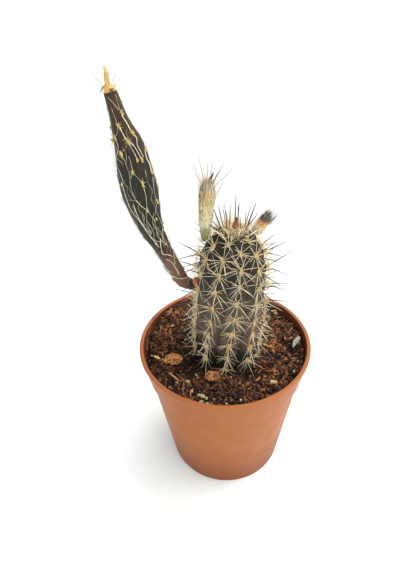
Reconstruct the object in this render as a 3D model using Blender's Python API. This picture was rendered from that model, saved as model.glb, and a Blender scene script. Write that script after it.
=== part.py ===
"""A small ribbed cactus with a dried seed pod and flower remains, in a plain plastic nursery pot.

Metres, +Z up. The origin is the centre of the pot's underside. -Y is the front, +X the right.
"""

import math
import random

import bmesh
import bpy
from mathutils import Vector
from mathutils.bvhtree import BVHTree

MM = 0.001
GAP = 0.3 * MM
FULL_TURN = 2.0 * math.pi

# The pot: a thin moulding with a tapered body, a collar band and drain holes
POT_HEIGHT = 50.0 * MM
RIM_RADIUS = 27.5 * MM
COLLAR_BOTTOM = 39.7 * MM
COLLAR_RADIUS = 25.65 * MM
BODY_RADIUS = 25.0 * MM
BASE_RADIUS = 20.3 * MM
WALL = 0.8 * MM
FLOOR = 1.0 * MM
LIP = 0.45 * MM
BASE_EDGE = 0.7 * MM
INNER_EDGE = 0.5 * MM
COLLAR_STEP = 0.2 * MM
LIP_BAND = (1.3 * MM, 0.9 * MM, 0.3 * MM)
DRAIN_RADIUS = 1.8 * MM
DRAIN_CIRCLE = 12.0 * MM
DRAIN_COUNT = 5
POT_SIDES = 56

# The soil: its level, and its mounds and hollows as (x, y, rise, width)
SOIL_LEVEL = 46.9 * MM
SOIL_SIDES = 44
SOIL_WALL_GAP = 0.4 * MM
SOIL_HOLE_GAP = 0.45 * MM
SOIL_RINGS = (0.0, 0.12, 0.26, 0.4, 0.54, 0.68, 0.8, 0.9, 1.0)
SOIL_FORMS = (
    (-19.0 * MM, 14.0 * MM, 2.0 * MM, 8.0 * MM),
    (-24.5 * MM, -5.0 * MM, -2.0 * MM, 6.0 * MM),
    (22.0 * MM, 4.0 * MM, 1.0 * MM, 6.0 * MM),
    (-16.0 * MM, -8.0 * MM, 0.6 * MM, 4.5 * MM),
    (-10.0 * MM, -6.0 * MM, -2.6 * MM, 3.6 * MM),
    (7.5 * MM, -12.0 * MM, -2.0 * MM, 3.6 * MM),
    (-3.0 * MM, -16.0 * MM, 0.7 * MM, 4.0 * MM),
)
SOIL_LUMPS = ((0.42 * MM, 8.6 * MM, 0.4), (0.34 * MM, 6.1 * MM, 2.1), (0.26 * MM, 4.7 * MM, 4.2))

# The stem: its axis starts in the soil, leans right and bows towards the front
FOOT = Vector((0.75 * MM, -1.08 * MM, 46.0 * MM))
LEAN_RIGHT = 0.046
LEAN_FRONT = 0.05
BOW_FRONT = 1.5
STEM_RADIUS = 9.95 * MM
STEM_HEIGHT = 47.5 * MM
SHOULDER_FROM = 13.9 * MM
SHOULDER_POWER = 4.28
FOOT_TAPER = 0.056
RIBS = 10
RIB_DEPTH = 1.15 * MM
CREST_DEPTH = 0.115 * MM
FIRST_RIB_TURN = math.radians(-78.3)
RIB_TWIST = 0.33 / (40.0 * MM)
ROOT_RINGS = ((-3.0 * MM, 0.9), (-8.0 * MM, 0.58), (-14.0 * MM, 0.26), (-18.0 * MM, 0.12))

# The areoles: woolly cushions in staggered rows up the ribs, closer together at the crown
FIRST_ROW = 1.2 * MM
HALF_PITCH = 3.05 * MM
HALF_ROWS = 19
CROWDED_FROM = 34.0 * MM
CROWDING = 0.9
AREOLE_RADIUS = 1.1 * MM
AREOLE_LIFT = 0.75 * MM
AREOLE_SIDES = 8
AREOLE_PROFILE = ((1.0, 0.12), (0.78, 0.62), (0.34, 1.0))
WIDTH_SHARE = 0.33
HEIGHT_SHARE = 0.36
RADIAL_LENGTH = (2.5 * MM, 3.4 * MM)
LOWER_CENTRAL = (3.2 * MM, 4.4 * MM)
UPPER_CENTRAL = (5.0 * MM, 6.3 * MM)
LONG_SPINES_FROM = 22.0 * MM
CROWN_SPINE = (4.2 * MM, 5.8 * MM)
SPINE_CLEARANCE = 0.26 * MM

# Areoles that carry something in place of spines, as (rib, half row)
POD_AREOLE = (9, 10)
BUD_AREOLE = (9, 14)
STUMP_AREOLE = (5, 14)
BUD_RAISED = 0.9 * MM

# The seed pod: its axis in a plane as (x, z, radius)
POD_PLANE = -4.0 * MM
POD_PATH = (
    (-9.45 * MM, 74.9 * MM, 1.3 * MM),
    (-10.8 * MM, 75.3 * MM, 1.6 * MM),
    (-12.0 * MM, 76.9 * MM, 1.8 * MM),
    (-13.2 * MM, 79.8 * MM, 1.9 * MM),
    (-15.8 * MM, 86.0 * MM, 2.0 * MM),
    (-18.5 * MM, 93.4 * MM, 3.05 * MM),
    (-20.1 * MM, 103.0 * MM, 4.4 * MM),
    (-21.1 * MM, 112.7 * MM, 3.5 * MM),
    (-22.5 * MM, 119.3 * MM, 1.95 * MM),
    (-23.6 * MM, 125.0 * MM, 1.4 * MM),
)
POD_COLUMNS = 9
POD_ROWS = 17
NET_HEIGHT = 0.38 * MM
NET_OPENING = 0.7
NET_RISES_OVER = 4
POD_SEAT_CENTRE = Vector((-8.05 * MM, POD_PLANE, 75.5 * MM))
POD_SEAT_SIZE = Vector((0.85 * MM, 1.35 * MM, 1.75 * MM))

# The dried flower at the pod's tip: (x, z, radius, depth of its creases)
FLOWER_PATH = (
    (-23.68 * MM, 125.45 * MM, 1.2 * MM, 0.1),
    (-23.72 * MM, 126.1 * MM, 1.35 * MM, 0.2),
    (-23.78 * MM, 126.8 * MM, 0.85 * MM, 0.3),
    (-23.7 * MM, 127.6 * MM, 0.42 * MM, 0.2),
    (-23.7 * MM, 128.5 * MM, 0.5 * MM, 0.3),
    (-23.8 * MM, 129.3 * MM, 0.4 * MM, 0.3),
)
FLOWER_TIP = Vector((-24.0 * MM, POD_PLANE, 130.4 * MM))
FLOWER_SIDES = 12
SHRED_LENGTH = (1.0 * MM, 2.0 * MM)

# The woolly bud and the flower stump: axis as (height along it, radius), bristles from the top rings
BUD_PROFILE = (
    (0.0 * MM, 0.85 * MM),
    (1.8 * MM, 1.0 * MM),
    (5.0 * MM, 1.65 * MM),
    (9.2 * MM, 1.85 * MM),
    (12.8 * MM, 2.05 * MM),
    (14.2 * MM, 1.85 * MM),
    (15.4 * MM, 1.35 * MM),
    (16.2 * MM, 0.7 * MM),
)
BUD_LEAN = Vector((0.05, 0.0, 1.0))
BUD_BRISTLE = (3.0 * MM, 5.6 * MM)
STUMP_PROFILE = (
    (0.0 * MM, 1.15 * MM),
    (1.6 * MM, 1.3 * MM),
    (3.4 * MM, 1.4 * MM),
    (4.4 * MM, 1.3 * MM),
    (5.3 * MM, 1.0 * MM),
    (6.0 * MM, 0.5 * MM),
)
STUMP_LEAN = Vector((0.46, 0.0, 1.0))
STUMP_BRISTLE = (2.2 * MM, 3.8 * MM)
TUBE_SIDES = 12
TUBE_FURROW = 0.09

# The small closed bud in the middle of the crown
CROWN_BUD_RADIUS = 0.72 * MM
CROWN_BUD_LENGTH = 3.5 * MM
CROWN_BUD_ASIDE = 0.3 * MM
CROWN_BUD_PROFILE = ((0.0, 0.75), (0.25, 1.0), (0.6, 0.8), (0.85, 0.45))

# Loose bits on the soil: name, (x, y), half sizes, turn in degrees, faces, roughness of the outline
LOOSE_BITS = (
    ("coir_left", (-15.8, -8.0), (3.0, 2.2, 1.2), 20.0, 2, 0.16),
    ("coir_front", (-3.6, -15.3), (2.3, 1.6, 1.1), 10.0, 2, 0.16),
    ("bark_flake", (23.2, -0.6), (3.1, 0.8, 0.45), 62.0, 2, 0.1),
    ("straw_chip", (-22.2, -4.6), (2.2, 0.55, 0.4), -24.0, 1, 0.12),
    ("pumice_1", (13.9, -16.4), (1.2, 1.0, 0.9), 30.0, 1, 0.16),
    ("pumice_2", (-10.8, -16.2), (0.9, 0.8, 0.7), 80.0, 1, 0.16),
    ("pumice_3", (-6.4, -21.6), (1.2, 0.9, 0.8), 10.0, 1, 0.16),
    ("pumice_4", (20.8, -12.2), (0.8, 0.7, 0.6), 45.0, 1, 0.16),
    ("pumice_5", (18.6, 15.6), (1.1, 0.9, 0.8), 15.0, 1, 0.16),
)

LOOSE_FINISH = {"coir": "coir", "bark": "grey_bark", "straw": "straw", "pumice": "pumice"}

# Colour, roughness of each material
COLOURS = {
    "pot": ((0.50, 0.17, 0.07), 0.42),
    "soil": ((0.045, 0.022, 0.012), 0.95),
    "cactus_skin": ((0.075, 0.07, 0.05), 0.6),
    "seed_pod": ((0.04, 0.042, 0.03), 0.6),
    "rust_felt": ((0.42, 0.13, 0.05), 0.9),
    "dry_flower": ((0.62, 0.42, 0.14), 0.7),
    "straw_wool": ((0.6, 0.52, 0.36), 0.9),
    "grey_wool": ((0.38, 0.33, 0.27), 0.9),
    "coir": ((0.28, 0.11, 0.04), 0.95),
    "grey_bark": ((0.3, 0.3, 0.29), 0.85),
    "straw": ((0.45, 0.28, 0.09), 0.85),
    "pumice": ((0.62, 0.55, 0.38), 0.9),
}


def clear_scene():
    """Remove every object."""
    for item in list(bpy.data.objects):
        bpy.data.objects.remove(item, do_unlink=True)


def material(name):
    """One Principled material, in its colour and roughness."""
    made = bpy.data.materials.get(name)
    if made is None:
        made = bpy.data.materials.new(name)
        made.use_nodes = True
        shader = made.node_tree.nodes["Principled BSDF"]
        colour, roughness = COLOURS[name]
        shader.inputs["Base Color"].default_value = (*colour, 1.0)
        shader.inputs["Roughness"].default_value = roughness
        shader.inputs["Metallic"].default_value = 0.0
    return made


def add_object(name, shape, finish, sharp_from=35.0):
    """Turn a closed bmesh into an object with its faces pointing out."""
    bmesh.ops.recalc_face_normals(shape, faces=shape.faces)
    mesh = bpy.data.meshes.new(name)
    shape.to_mesh(mesh)
    shape.free()
    mesh.shade_smooth()
    mesh.set_sharp_from_angle(angle=math.radians(sharp_from))
    mesh.materials.append(material(finish))
    item = bpy.data.objects.new(name, mesh)
    bpy.context.scene.collection.objects.link(item)
    return item


def circle(shape, centre, side, back, radii):
    """A ring of vertices about a centre, one for each radius, counted from side towards back."""
    ring = []
    for number, radius in enumerate(radii):
        turn = FULL_TURN * number / len(radii)
        place = centre + radius * (math.cos(turn) * side + math.sin(turn) * back)
        ring.append(shape.verts.new(place))
    return ring


def join_rings(shape, lower, upper):
    """A band of quads between two rings of the same count."""
    count = len(lower)
    band = []
    for number in range(count):
        after = (number + 1) % count
        band.append(shape.faces.new((lower[number], lower[after], upper[after], upper[number])))
    return band


def loft(shape, rings):
    """Bands between rings in order, with both ends closed."""
    bands = [join_rings(shape, lower, upper) for lower, upper in zip(rings, rings[1:])]
    shape.faces.new(reversed(rings[0]))
    shape.faces.new(rings[-1])
    return bands


def pull_tip(shape, face, tip):
    """Make a face the root of a spine that ends in a point."""
    poked = bmesh.ops.poke(shape, faces=[face])
    poked["verts"][0].co = tip


def narrow(shape, face, share):
    """Cut a smaller face out of the middle of a face and return it."""
    centre = face.calc_center_median()
    corners = list(face.verts)
    inner = [shape.verts.new(centre + share * (corner.co - centre)) for corner in corners]
    shape.faces.remove(face)
    join_rings(shape, corners, inner)
    return shape.faces.new(inner)


def tree_of(item):
    """A search tree of an object's faces."""
    mesh = item.data
    places = [vertex.co.copy() for vertex in mesh.vertices]
    return BVHTree.FromPolygons(places, [tuple(face.vertices) for face in mesh.polygons])


def pot_outline():
    """The pot's section from the centre of its underside, up the outside and down the inside."""
    inner_base = BASE_RADIUS - WALL
    inner_rim = RIM_RADIUS - LIP - WALL
    return (
        (BASE_RADIUS - BASE_EDGE, 0.0),
        (BASE_RADIUS, BASE_EDGE),
        (BODY_RADIUS, COLLAR_BOTTOM - COLLAR_STEP),
        (COLLAR_RADIUS, COLLAR_BOTTOM + COLLAR_STEP),
        (RIM_RADIUS - LIP, POT_HEIGHT - LIP_BAND[0]),
        (RIM_RADIUS, POT_HEIGHT - LIP_BAND[1]),
        (RIM_RADIUS, POT_HEIGHT - LIP_BAND[2]),
        (RIM_RADIUS - LIP_BAND[2], POT_HEIGHT),
        (inner_rim + COLLAR_STEP, POT_HEIGHT),
        (inner_rim, POT_HEIGHT - 2.0 * COLLAR_STEP),
        (COLLAR_RADIUS - WALL, COLLAR_BOTTOM + COLLAR_STEP),
        (BODY_RADIUS - WALL, COLLAR_BOTTOM - COLLAR_STEP),
        (inner_base, FLOOR + INNER_EDGE),
        (inner_base - INNER_EDGE, FLOOR),
    )


def make_pot():
    """Turn the section about the vertical axis and cut the drain holes."""
    shape = bmesh.new()
    side, back = Vector((1, 0, 0)), Vector((0, 1, 0))
    rings = [circle(shape, Vector((0, 0, z)), side, back, [r] * POT_SIDES) for r, z in pot_outline()]
    loft(shape, rings)
    pot = add_object("pot", shape, "pot")
    cutters = bmesh.new()
    for number in range(DRAIN_COUNT):
        turn = FULL_TURN * (number + 0.5) / DRAIN_COUNT
        centre = Vector((DRAIN_CIRCLE * math.cos(turn), DRAIN_CIRCLE * math.sin(turn), 0))
        low = circle(cutters, centre - Vector((0, 0, MM)), side, back, [DRAIN_RADIUS] * 16)
        high = circle(cutters, centre + Vector((0, 0, 3 * MM)), side, back, [DRAIN_RADIUS] * 16)
        loft(cutters, (low, high))
    cutter = add_object("drain_cutter", cutters, "pot")
    cutter.hide_render = True
    cutter.display_type = "WIRE"
    cut = pot.modifiers.new("drain_holes", "BOOLEAN")
    cut.operation = "DIFFERENCE"
    cut.object = cutter
    return pot


def soil_top(x, y):
    """Height of the soil: its level, its mounds and hollows, and small lumps as crossing waves."""
    height = SOIL_LEVEL
    for form_x, form_y, rise, width in SOIL_FORMS:
        height += rise * math.exp(-((x - form_x) ** 2 + (y - form_y) ** 2) / width**2)
    for rise, length, phase in SOIL_LUMPS:
        wave = math.sin(FULL_TURN * x / length + phase) * math.sin(FULL_TURN * y / length - 2.0 * phase)
        height += rise * wave
    return height


def pot_inner_radius(z):
    """Radius of the pot's inner wall at a height."""
    if z > COLLAR_BOTTOM:
        share = (z - COLLAR_BOTTOM) / (POT_HEIGHT - COLLAR_BOTTOM)
        return COLLAR_RADIUS - WALL + share * (RIM_RADIUS - LIP - COLLAR_RADIUS)
    return BASE_RADIUS - WALL + z / COLLAR_BOTTOM * (BODY_RADIUS - BASE_RADIUS)


def stem_axis(height):
    """Centre of the stem at a height over its foot."""
    forward = LEAN_FRONT * height + BOW_FRONT * height**2
    return FOOT + Vector((LEAN_RIGHT * height, -forward, height))


def stem_frame(height):
    """The stem's axis direction at a height, with its right and back directions square to it."""
    along = Vector((LEAN_RIGHT, -LEAN_FRONT - 2.0 * BOW_FRONT * height, 1.0)).normalized()
    right = (Vector((1, 0, 0)) - along.x * along).normalized()
    return along, right, along.cross(right)


def stem_radius(height):
    """Radius over the ribs: straight, a little narrower at the foot, and rounded over at the crown."""
    share = max(0.0, (height - SHOULDER_FROM) / (STEM_HEIGHT - SHOULDER_FROM))
    shoulder = math.sqrt(max(0.0, 1.0 - share**SHOULDER_POWER))
    below = max(0.0, 1.0 - max(height, 0.0) / SHOULDER_FROM)
    return STEM_RADIUS * shoulder * (1.0 - FOOT_TAPER * below**2)


def skin(height, turn, depth=0.0):
    """A point on the stem at a height and a turn from the front, a depth below the ribs' crests."""
    along, right, back = stem_frame(height)
    radius = stem_radius(height) * (1.0 - depth / STEM_RADIUS)
    return stem_axis(height) + radius * (math.sin(turn) * right - math.cos(turn) * back)


def rib_turn(rib, height):
    """Turn of a rib's crest: the ribs are evenly spaced and wind slowly round the stem."""
    return FIRST_RIB_TURN + rib * FULL_TURN / RIBS + RIB_TWIST * max(height, 0.0)


def row_heights():
    """Heights of the half rows, found by walking up the skin in steps that shrink at the crown."""
    heights = [FIRST_ROW]
    step = HALF_PITCH
    stride = 0.02 * MM
    while len(heights) < HALF_ROWS:
        height = heights[-1]
        if height > CROWDED_FROM:
            step *= CROWDING
        walked = 0.0
        while walked < step and height < STEM_HEIGHT - 2.0 * stride:
            walked += math.hypot(stride, stem_radius(height + stride) - stem_radius(height))
            height += stride
        heights.append(height)
    return heights


def skin_directions(height, turn):
    """Outward, rightward and upward directions of the skin at a point."""
    step = 0.3 * MM
    low = skin(height - step, turn)
    high = skin(min(height + step, STEM_HEIGHT - 0.05 * MM), turn)
    up = (high - low).normalized()
    right = (skin(height, turn + 0.05) - skin(height, turn - 0.05)).normalized()
    return right.cross(up).normalized(), right, up


def make_soil():
    """The soil in the pot, with an uneven top and a plain hole that follows the stem's foot."""
    shape = bmesh.new()
    side, back = Vector((1, 0, 0)), Vector((0, 1, 0))
    rings = []
    for z, spare in (
        (FLOOR + GAP, INNER_EDGE),
        (COLLAR_BOTTOM - 2.0 * COLLAR_STEP, 0.0),
        (COLLAR_BOTTOM + 4.0 * COLLAR_STEP, 0.0),
    ):
        radius = pot_inner_radius(z) - SOIL_WALL_GAP - spare
        rings.append(circle(shape, Vector((0, 0, z)), side, back, [radius] * SOIL_SIDES))
    outer = pot_inner_radius(SOIL_LEVEL - INNER_EDGE) - SOIL_WALL_GAP
    hole = stem_radius(FIRST_ROW) + SOIL_HOLE_GAP
    hole_centre = stem_axis(FIRST_ROW)
    for share in SOIL_RINGS:
        centre = Vector((hole_centre.x, hole_centre.y, 0)) * share
        radius = outer + share * (hole - outer)
        ring = circle(shape, centre, side, back, [radius] * SOIL_SIDES)
        for vertex in ring:
            vertex.co.z = soil_top(vertex.co.x, vertex.co.y)
        rings.append(ring)
    for height, share in ROOT_RINGS:
        radius = stem_radius(height) * share + SOIL_HOLE_GAP
        centre = stem_axis(height)
        if height == ROOT_RINGS[-1][0]:
            centre.z -= GAP
        rings.append(circle(shape, centre, side, back, [radius] * SOIL_SIDES))
    loft(shape, rings)
    return add_object("soil", shape, "soil")


def let_down(item, ground):
    """Lower a piece until the gap to the ground object is left under its lowest spot."""
    down, up = Vector((0, 0, -1)), Vector((0, 0, 1))
    ground_tree, item_tree = tree_of(ground), tree_of(item)
    reaches = [ground_tree.ray_cast(vertex.co, down)[3] for vertex in item.data.vertices]
    reaches += [item_tree.ray_cast(vertex.co, up)[3] for vertex in ground.data.vertices]
    fall = min(reach for reach in reaches if reach is not None) - GAP
    for vertex in item.data.vertices:
        vertex.co.z -= fall


def make_loose_bit(name, place, sizes, degrees, faces, rough, ground):
    """A rough lump, flattened and turned, lying on the soil."""
    draw = random.Random(name)
    shape = bmesh.new()
    bmesh.ops.create_icosphere(shape, subdivisions=faces, radius=1.0)
    cosine, sine = math.cos(math.radians(degrees)), math.sin(math.radians(degrees))
    for vertex in shape.verts:
        spread = MM * (1.0 + draw.uniform(-rough, rough))
        x, y, z = (part * size * spread for part, size in zip(vertex.co, sizes))
        vertex.co.x = place[0] * MM + x * cosine - y * sine
        vertex.co.y = place[1] * MM + x * sine + y * cosine
        vertex.co.z = POT_HEIGHT + 10 * MM + z
    finish = LOOSE_FINISH[name.split("_")[0]]
    item = add_object(name, shape, finish)
    let_down(item, ground)
    return item


def path_at(points, place):
    """A Catmull-Rom curve through points of any length of tuple, at a place counted in points."""
    before = [2 * a - b for a, b in zip(points[0], points[1])]
    after = [2 * a - b for a, b in zip(points[-1], points[-2])]
    chain = [before, *points, after]
    leg = max(0, min(int(place), len(points) - 2))
    t = place - leg
    weights = (
        -0.5 * t + t**2 - 0.5 * t**3,
        1.0 - 2.5 * t**2 + 1.5 * t**3,
        0.5 * t + 2.0 * t**2 - 1.5 * t**3,
        -0.5 * t**2 + 0.5 * t**3,
    )
    return [sum(w * p[axis] for w, p in zip(weights, chain[leg:leg + 4])) for axis in range(len(points[0]))]


def pod_point(row, turn, lift):
    """A point on the pod: a row counted along its axis, a turn round it, and a lift off its surface."""
    place = row * (len(POD_PATH) - 1) / POD_ROWS
    x, z, radius = path_at(POD_PATH, place)
    before, after = path_at(POD_PATH, place - 0.05), path_at(POD_PATH, place + 0.05)
    along = Vector((after[0] - before[0], 0, after[1] - before[1])).normalized()
    back = Vector((0, 1, 0))
    side = back.cross(along)
    spoke = math.cos(turn) * side + math.sin(turn) * back
    return Vector((x, POD_PLANE, z)) + (radius + lift) * spoke


def make_pod():
    """The seed pod: two families of spiral ridges make a raised net of lozenges round a bent tube."""
    shape = bmesh.new()
    step = FULL_TURN / POD_COLUMNS
    knots = []
    for row in range(POD_ROWS + 1):
        lift = NET_HEIGHT * min(1.0, row / NET_RISES_OVER, float(POD_ROWS - row))
        first = 0.5 * (row % 2)
        places = [pod_point(row, (column + first) * step, lift) for column in range(POD_COLUMNS)]
        knots.append([shape.verts.new(place) for place in places])
    for row in range(1, POD_ROWS):
        ahead = (row + 1) % 2
        first = 0.5 * ahead
        for column in range(POD_COLUMNS):
            right = knots[row][(column + ahead) % POD_COLUMNS]
            left = knots[row][(column + ahead - 1) % POD_COLUMNS]
            corners = (knots[row - 1][column], right, knots[row + 1][column], left)
            inner = []
            for rows_on, turns_on in ((-1, 0), (0, 0.5), (1, 0), (0, -0.5)):
                turn = (column + first + NET_OPENING * turns_on) * step
                inner.append(shape.verts.new(pod_point(row + NET_OPENING * rows_on, turn, 0.0)))
            join_rings(shape, corners, inner)
            shape.faces.new(inner)
    for column in range(POD_COLUMNS):
        after = (column + 1) % POD_COLUMNS
        shape.faces.new((knots[0][after], knots[0][column], knots[1][column]))
        below = knots[POD_ROWS - 1][(column + POD_ROWS % 2) % POD_COLUMNS]
        shape.faces.new((knots[POD_ROWS][column], knots[POD_ROWS][after], below))
    shape.faces.new(reversed(knots[0]))
    shape.faces.new(knots[POD_ROWS])
    return add_object("seed_pod", shape, "seed_pod")


def make_pod_seat():
    """The felted areole that the pod grows from, a small cushion between the pod and the stem."""
    shape = bmesh.new()
    bmesh.ops.create_uvsphere(shape, u_segments=12, v_segments=8, radius=1.0)
    for vertex in shape.verts:
        vertex.co = POD_SEAT_CENTRE + Vector(a * b for a, b in zip(vertex.co, POD_SEAT_SIZE))
    return add_object("pod_seat", shape, "rust_felt")


def make_dry_flower():
    """The withered flower on the pod: a creased neck with a few shreds, drawn out to a point."""
    draw = random.Random("dry_flower")
    shape = bmesh.new()
    rings = []
    for number, (x, z, radius, crease) in enumerate(FLOWER_PATH):
        radii = [radius * (1.0 - crease * (side % 2)) for side in range(FLOWER_SIDES)]
        rings.append(circle(shape, Vector((x, POD_PLANE, z)), Vector((1, 0, 0)), Vector((0, 1, 0)), radii))
    bands = loft(shape, rings)
    top = next(face for face in shape.faces if set(face.verts) == set(rings[-1]))
    pull_tip(shape, top, FLOWER_TIP)
    axis = Vector((FLOWER_PATH[1][0], POD_PLANE, FLOWER_PATH[1][1]))
    for face in bands[1][::4]:
        root = face.calc_center_median()
        out = (root - axis).normalized() + Vector((0, 0, draw.uniform(0, 0.8)))
        pull_tip(shape, face, root + draw.uniform(*SHRED_LENGTH) * out)
    return add_object("dry_flower", shape, "dry_flower")


def bristly_tube(name, finish, foot, lean, profile, bristle, bristle_bands):
    """A furrowed woolly tube along a leaning axis, with bristles that fan out of its top bands."""
    draw = random.Random(name)
    shape = bmesh.new()
    along = lean.normalized()
    back = (Vector((0, 1, 0)) - along.y * along).normalized()
    side = back.cross(along)
    rings = []
    for height, radius in profile:
        radii = [radius * (1.0 - TUBE_FURROW * (number % 2)) for number in range(TUBE_SIDES)]
        rings.append(circle(shape, foot + height * along, side, back, radii))
    bands = loft(shape, rings)
    top = foot + profile[-1][0] * along
    for band in bands[-bristle_bands:]:
        for number, face in enumerate(band):
            root = face.calc_center_median()
            out = root - foot
            out = (out - out.dot(along) * along).normalized()
            spread = draw.uniform(0.25, 0.75)
            reach = draw.uniform(*bristle)
            direction = (along + spread * out + 0.12 * draw.uniform(-1, 1) * along.cross(out)).normalized()
            if number % 2 == bands.index(band) % 2:
                pull_tip(shape, narrow(shape, face, 0.5), root + reach * direction)
    crown = next(face for face in shape.faces if set(face.verts) == set(rings[-1]))
    pull_tip(shape, crown, top + 0.6 * bristle[1] * along)
    return add_object(name, shape, finish)


def flower_foot(areole, rows):
    """The point just over the skin, a little above an areole, where a flower stood."""
    rib, row = areole
    height = rows[row] + BUD_RAISED
    turn = rib_turn(rib, height)
    out = skin_directions(height, turn)[0]
    return skin(height, turn) + 1.5 * GAP * out


def make_crown_bud():
    """A small closed bud standing on the flat middle of the crown."""
    shape = bmesh.new()
    along, right, back = stem_frame(STEM_HEIGHT)
    foot = stem_axis(STEM_HEIGHT) + GAP * along + CROWN_BUD_ASIDE * right
    rings = []
    for height, radius in CROWN_BUD_PROFILE:
        centre = foot + height * CROWN_BUD_LENGTH * along
        rings.append(circle(shape, centre, right, back, [radius * CROWN_BUD_RADIUS] * 8))
    loft(shape, rings)
    crown = next(face for face in shape.faces if set(face.verts) == set(rings[-1]))
    pull_tip(shape, crown, foot + CROWN_BUD_LENGTH * along)
    return add_object("crown_bud", shape, "rust_felt")


class Spines:
    """Places spines one at a time, each clear of the ones before it and of the other pieces."""

    def __init__(self, neighbours, cushions):
        self.neighbours = neighbours
        self.cushions = cushions
        self.placed = []

    def clear(self, root, tip, thick, home):
        """Whether a tapering spine keeps off its neighbours, other cushions and placed spines."""
        for share in (0.35, 0.55, 0.75, 0.9, 1.0):
            point = root.lerp(tip, share)
            for tree in self.neighbours:
                if tree.find_nearest(point)[3] < GAP + 0.2 * MM:
                    return False
        for number, (centre, size) in enumerate(self.cushions):
            if number != home and segment_gap(root, tip, centre, centre)[0] < size + 0.15 * MM:
                return False
        for other_home, other_root, other_tip, other_thick in self.placed:
            if (other_root - root).length > 2.5 * UPPER_CENTRAL[1]:
                continue
            start, spare = (0.3, 0.0) if other_home == home else (0.0, SPINE_CLEARANCE)
            own, other = root.lerp(tip, start), other_root.lerp(other_tip, start)
            gap, here, there = segment_gap(own, tip, other, other_tip)
            room = (1.0 - start) * (thick * (1.0 - here) + other_thick * (1.0 - there))
            if gap < room + spare:
                return False
        return True

    def grow(self, shape, face, home, draw_tip):
        """Try a few drawn tips and pull the face out to the first that is clear."""
        root = face.calc_center_median()
        thick = max((vertex.co - root).length for vertex in face.verts)
        for attempt in range(16):
            tip = root + (draw_tip() - root) * 0.97**attempt
            if self.clear(root, tip, thick, home):
                pull_tip(shape, face, tip)
                self.placed.append((home, root, tip, thick))
                return True
        return False


def segment_gap(a, b, c, d):
    """Least distance between two segments, with how far along each it lies."""
    first, second, between = b - a, d - c, a - c
    aa, ee, ff = first.dot(first), second.dot(second), second.dot(between)
    cc, bb = first.dot(between), first.dot(second)
    det = aa * ee - bb * bb
    s = min(max((bb * ff - cc * ee) / det, 0.0), 1.0) if det > 1e-18 else 0.0
    t = (bb * s + ff) / ee if ee > 1e-18 else 0.0
    if t < 0.0 or t > 1.0:
        t = min(max(t, 0.0), 1.0)
        s = min(max((bb * t - cc) / aa, 0.0), 1.0)
    return (a + s * first - c - t * second).length, s, t


def areole_rings(shape, height, turn, size):
    """Three rings of a domed cushion on the skin, and its outward, right and up directions."""
    out, right, up = skin_directions(height, turn)
    centre = skin(height, turn)
    rings = []
    for share, lift in AREOLE_PROFILE:
        ring = []
        for number in range(AREOLE_SIDES):
            angle = FULL_TURN * number / AREOLE_SIDES
            spread = share * size * (math.cos(angle) * right + 1.1 * math.sin(angle) * up)
            ring.append(shape.verts.new(centre + spread + lift * AREOLE_LIFT * size / AREOLE_RADIUS * out))
        rings.append(ring)
    return rings, out, right, up


def rib_columns(shape, rows):
    """Vertices up each valley, and up each crest where the half rows leave out an areole."""
    half_rib = 0.5 * FULL_TURN / RIBS
    valleys, crests = [], []
    for rib in range(RIBS):
        turns = [rib_turn(rib, height) for height in rows]
        places = [skin(height, turn - half_rib, RIB_DEPTH) for height, turn in zip(rows, turns)]
        valleys.append([shape.verts.new(place) for place in places])
        crest = {}
        for row, height in enumerate(rows):
            if row % 2 == rib % 2 or row in (0, HALF_ROWS - 1):
                crest[row] = shape.verts.new(skin(height, turns[row], CREST_DEPTH))
        crests.append(crest)
    return valleys, crests


def make_cell(shape, outline, height, turn, size):
    """An areole in its eight-sided cell: a skirt, a domed cushion and its cap."""
    rings, out, across, up = areole_rings(shape, height, turn, size)
    join_rings(shape, outline, rings[0])
    sides = join_rings(shape, rings[0], rings[1])
    shoulders = join_rings(shape, rings[1], rings[2])
    cap = shape.faces.new(rings[2])
    return height, size, out, across, up, sides, shoulders, cap


def make_rib(shape, rib, left, crest, right, rows):
    """The skin of one rib between its two valleys, with a cell for each areole; returns the areoles."""
    areoles = []
    marks = sorted(crest)
    for low, high in zip(marks, marks[1:]):
        if high - low == 1:
            shape.faces.new((left[low], crest[low], crest[high], left[high]))
            shape.faces.new((crest[low], right[low], right[high], crest[high]))
            continue
        row = low + 1
        outline = [right[row], right[high], crest[high], left[high],
                   left[row], left[low], crest[low], right[low]]
        if (rib, row) in (POD_AREOLE, BUD_AREOLE, STUMP_AREOLE):
            shape.faces.new(outline)
            continue
        width = (right[row].co - left[row].co).length
        tall = (crest[high].co - crest[low].co).length
        size = min(AREOLE_RADIUS, WIDTH_SHARE * width, HEIGHT_SHARE * tall)
        areoles.append(make_cell(shape, outline, rows[row], rib_turn(rib, rows[row]), size))
    return areoles


def make_stem(neighbours, rows):
    """The ribbed stem with its areoles and spines, built as one closed skin."""
    draw = random.Random("cactus_body")
    shape = bmesh.new()
    valleys, crests = rib_columns(shape, rows)
    areoles, top, foot = [], [], []
    for rib in range(RIBS):
        areoles += make_rib(shape, rib, valleys[rib], crests[rib], valleys[(rib + 1) % RIBS], rows)
        top += [valleys[rib][-1], crests[rib][HALF_ROWS - 1]]
        foot += [valleys[rib][0], crests[rib][0]]
    crown_faces, crown_out = make_crown(shape, top)
    make_root(shape, foot)
    cushions = []
    for height, size, out, across, up, sides, shoulders, cap in areoles:
        cushions.append((cap.calc_center_median() - 0.5 * AREOLE_LIFT * out, size))
    spines = Spines(neighbours, cushions)
    grow_crown_spines(shape, spines, crown_faces, crown_out, draw)
    for number in sorted(range(len(areoles)), key=lambda n: -areoles[n][0]):
        grow_areole_spines(shape, spines, number, areoles[number], draw)
    return add_object("cactus_body", shape, "cactus_skin", 25.0)


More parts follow.
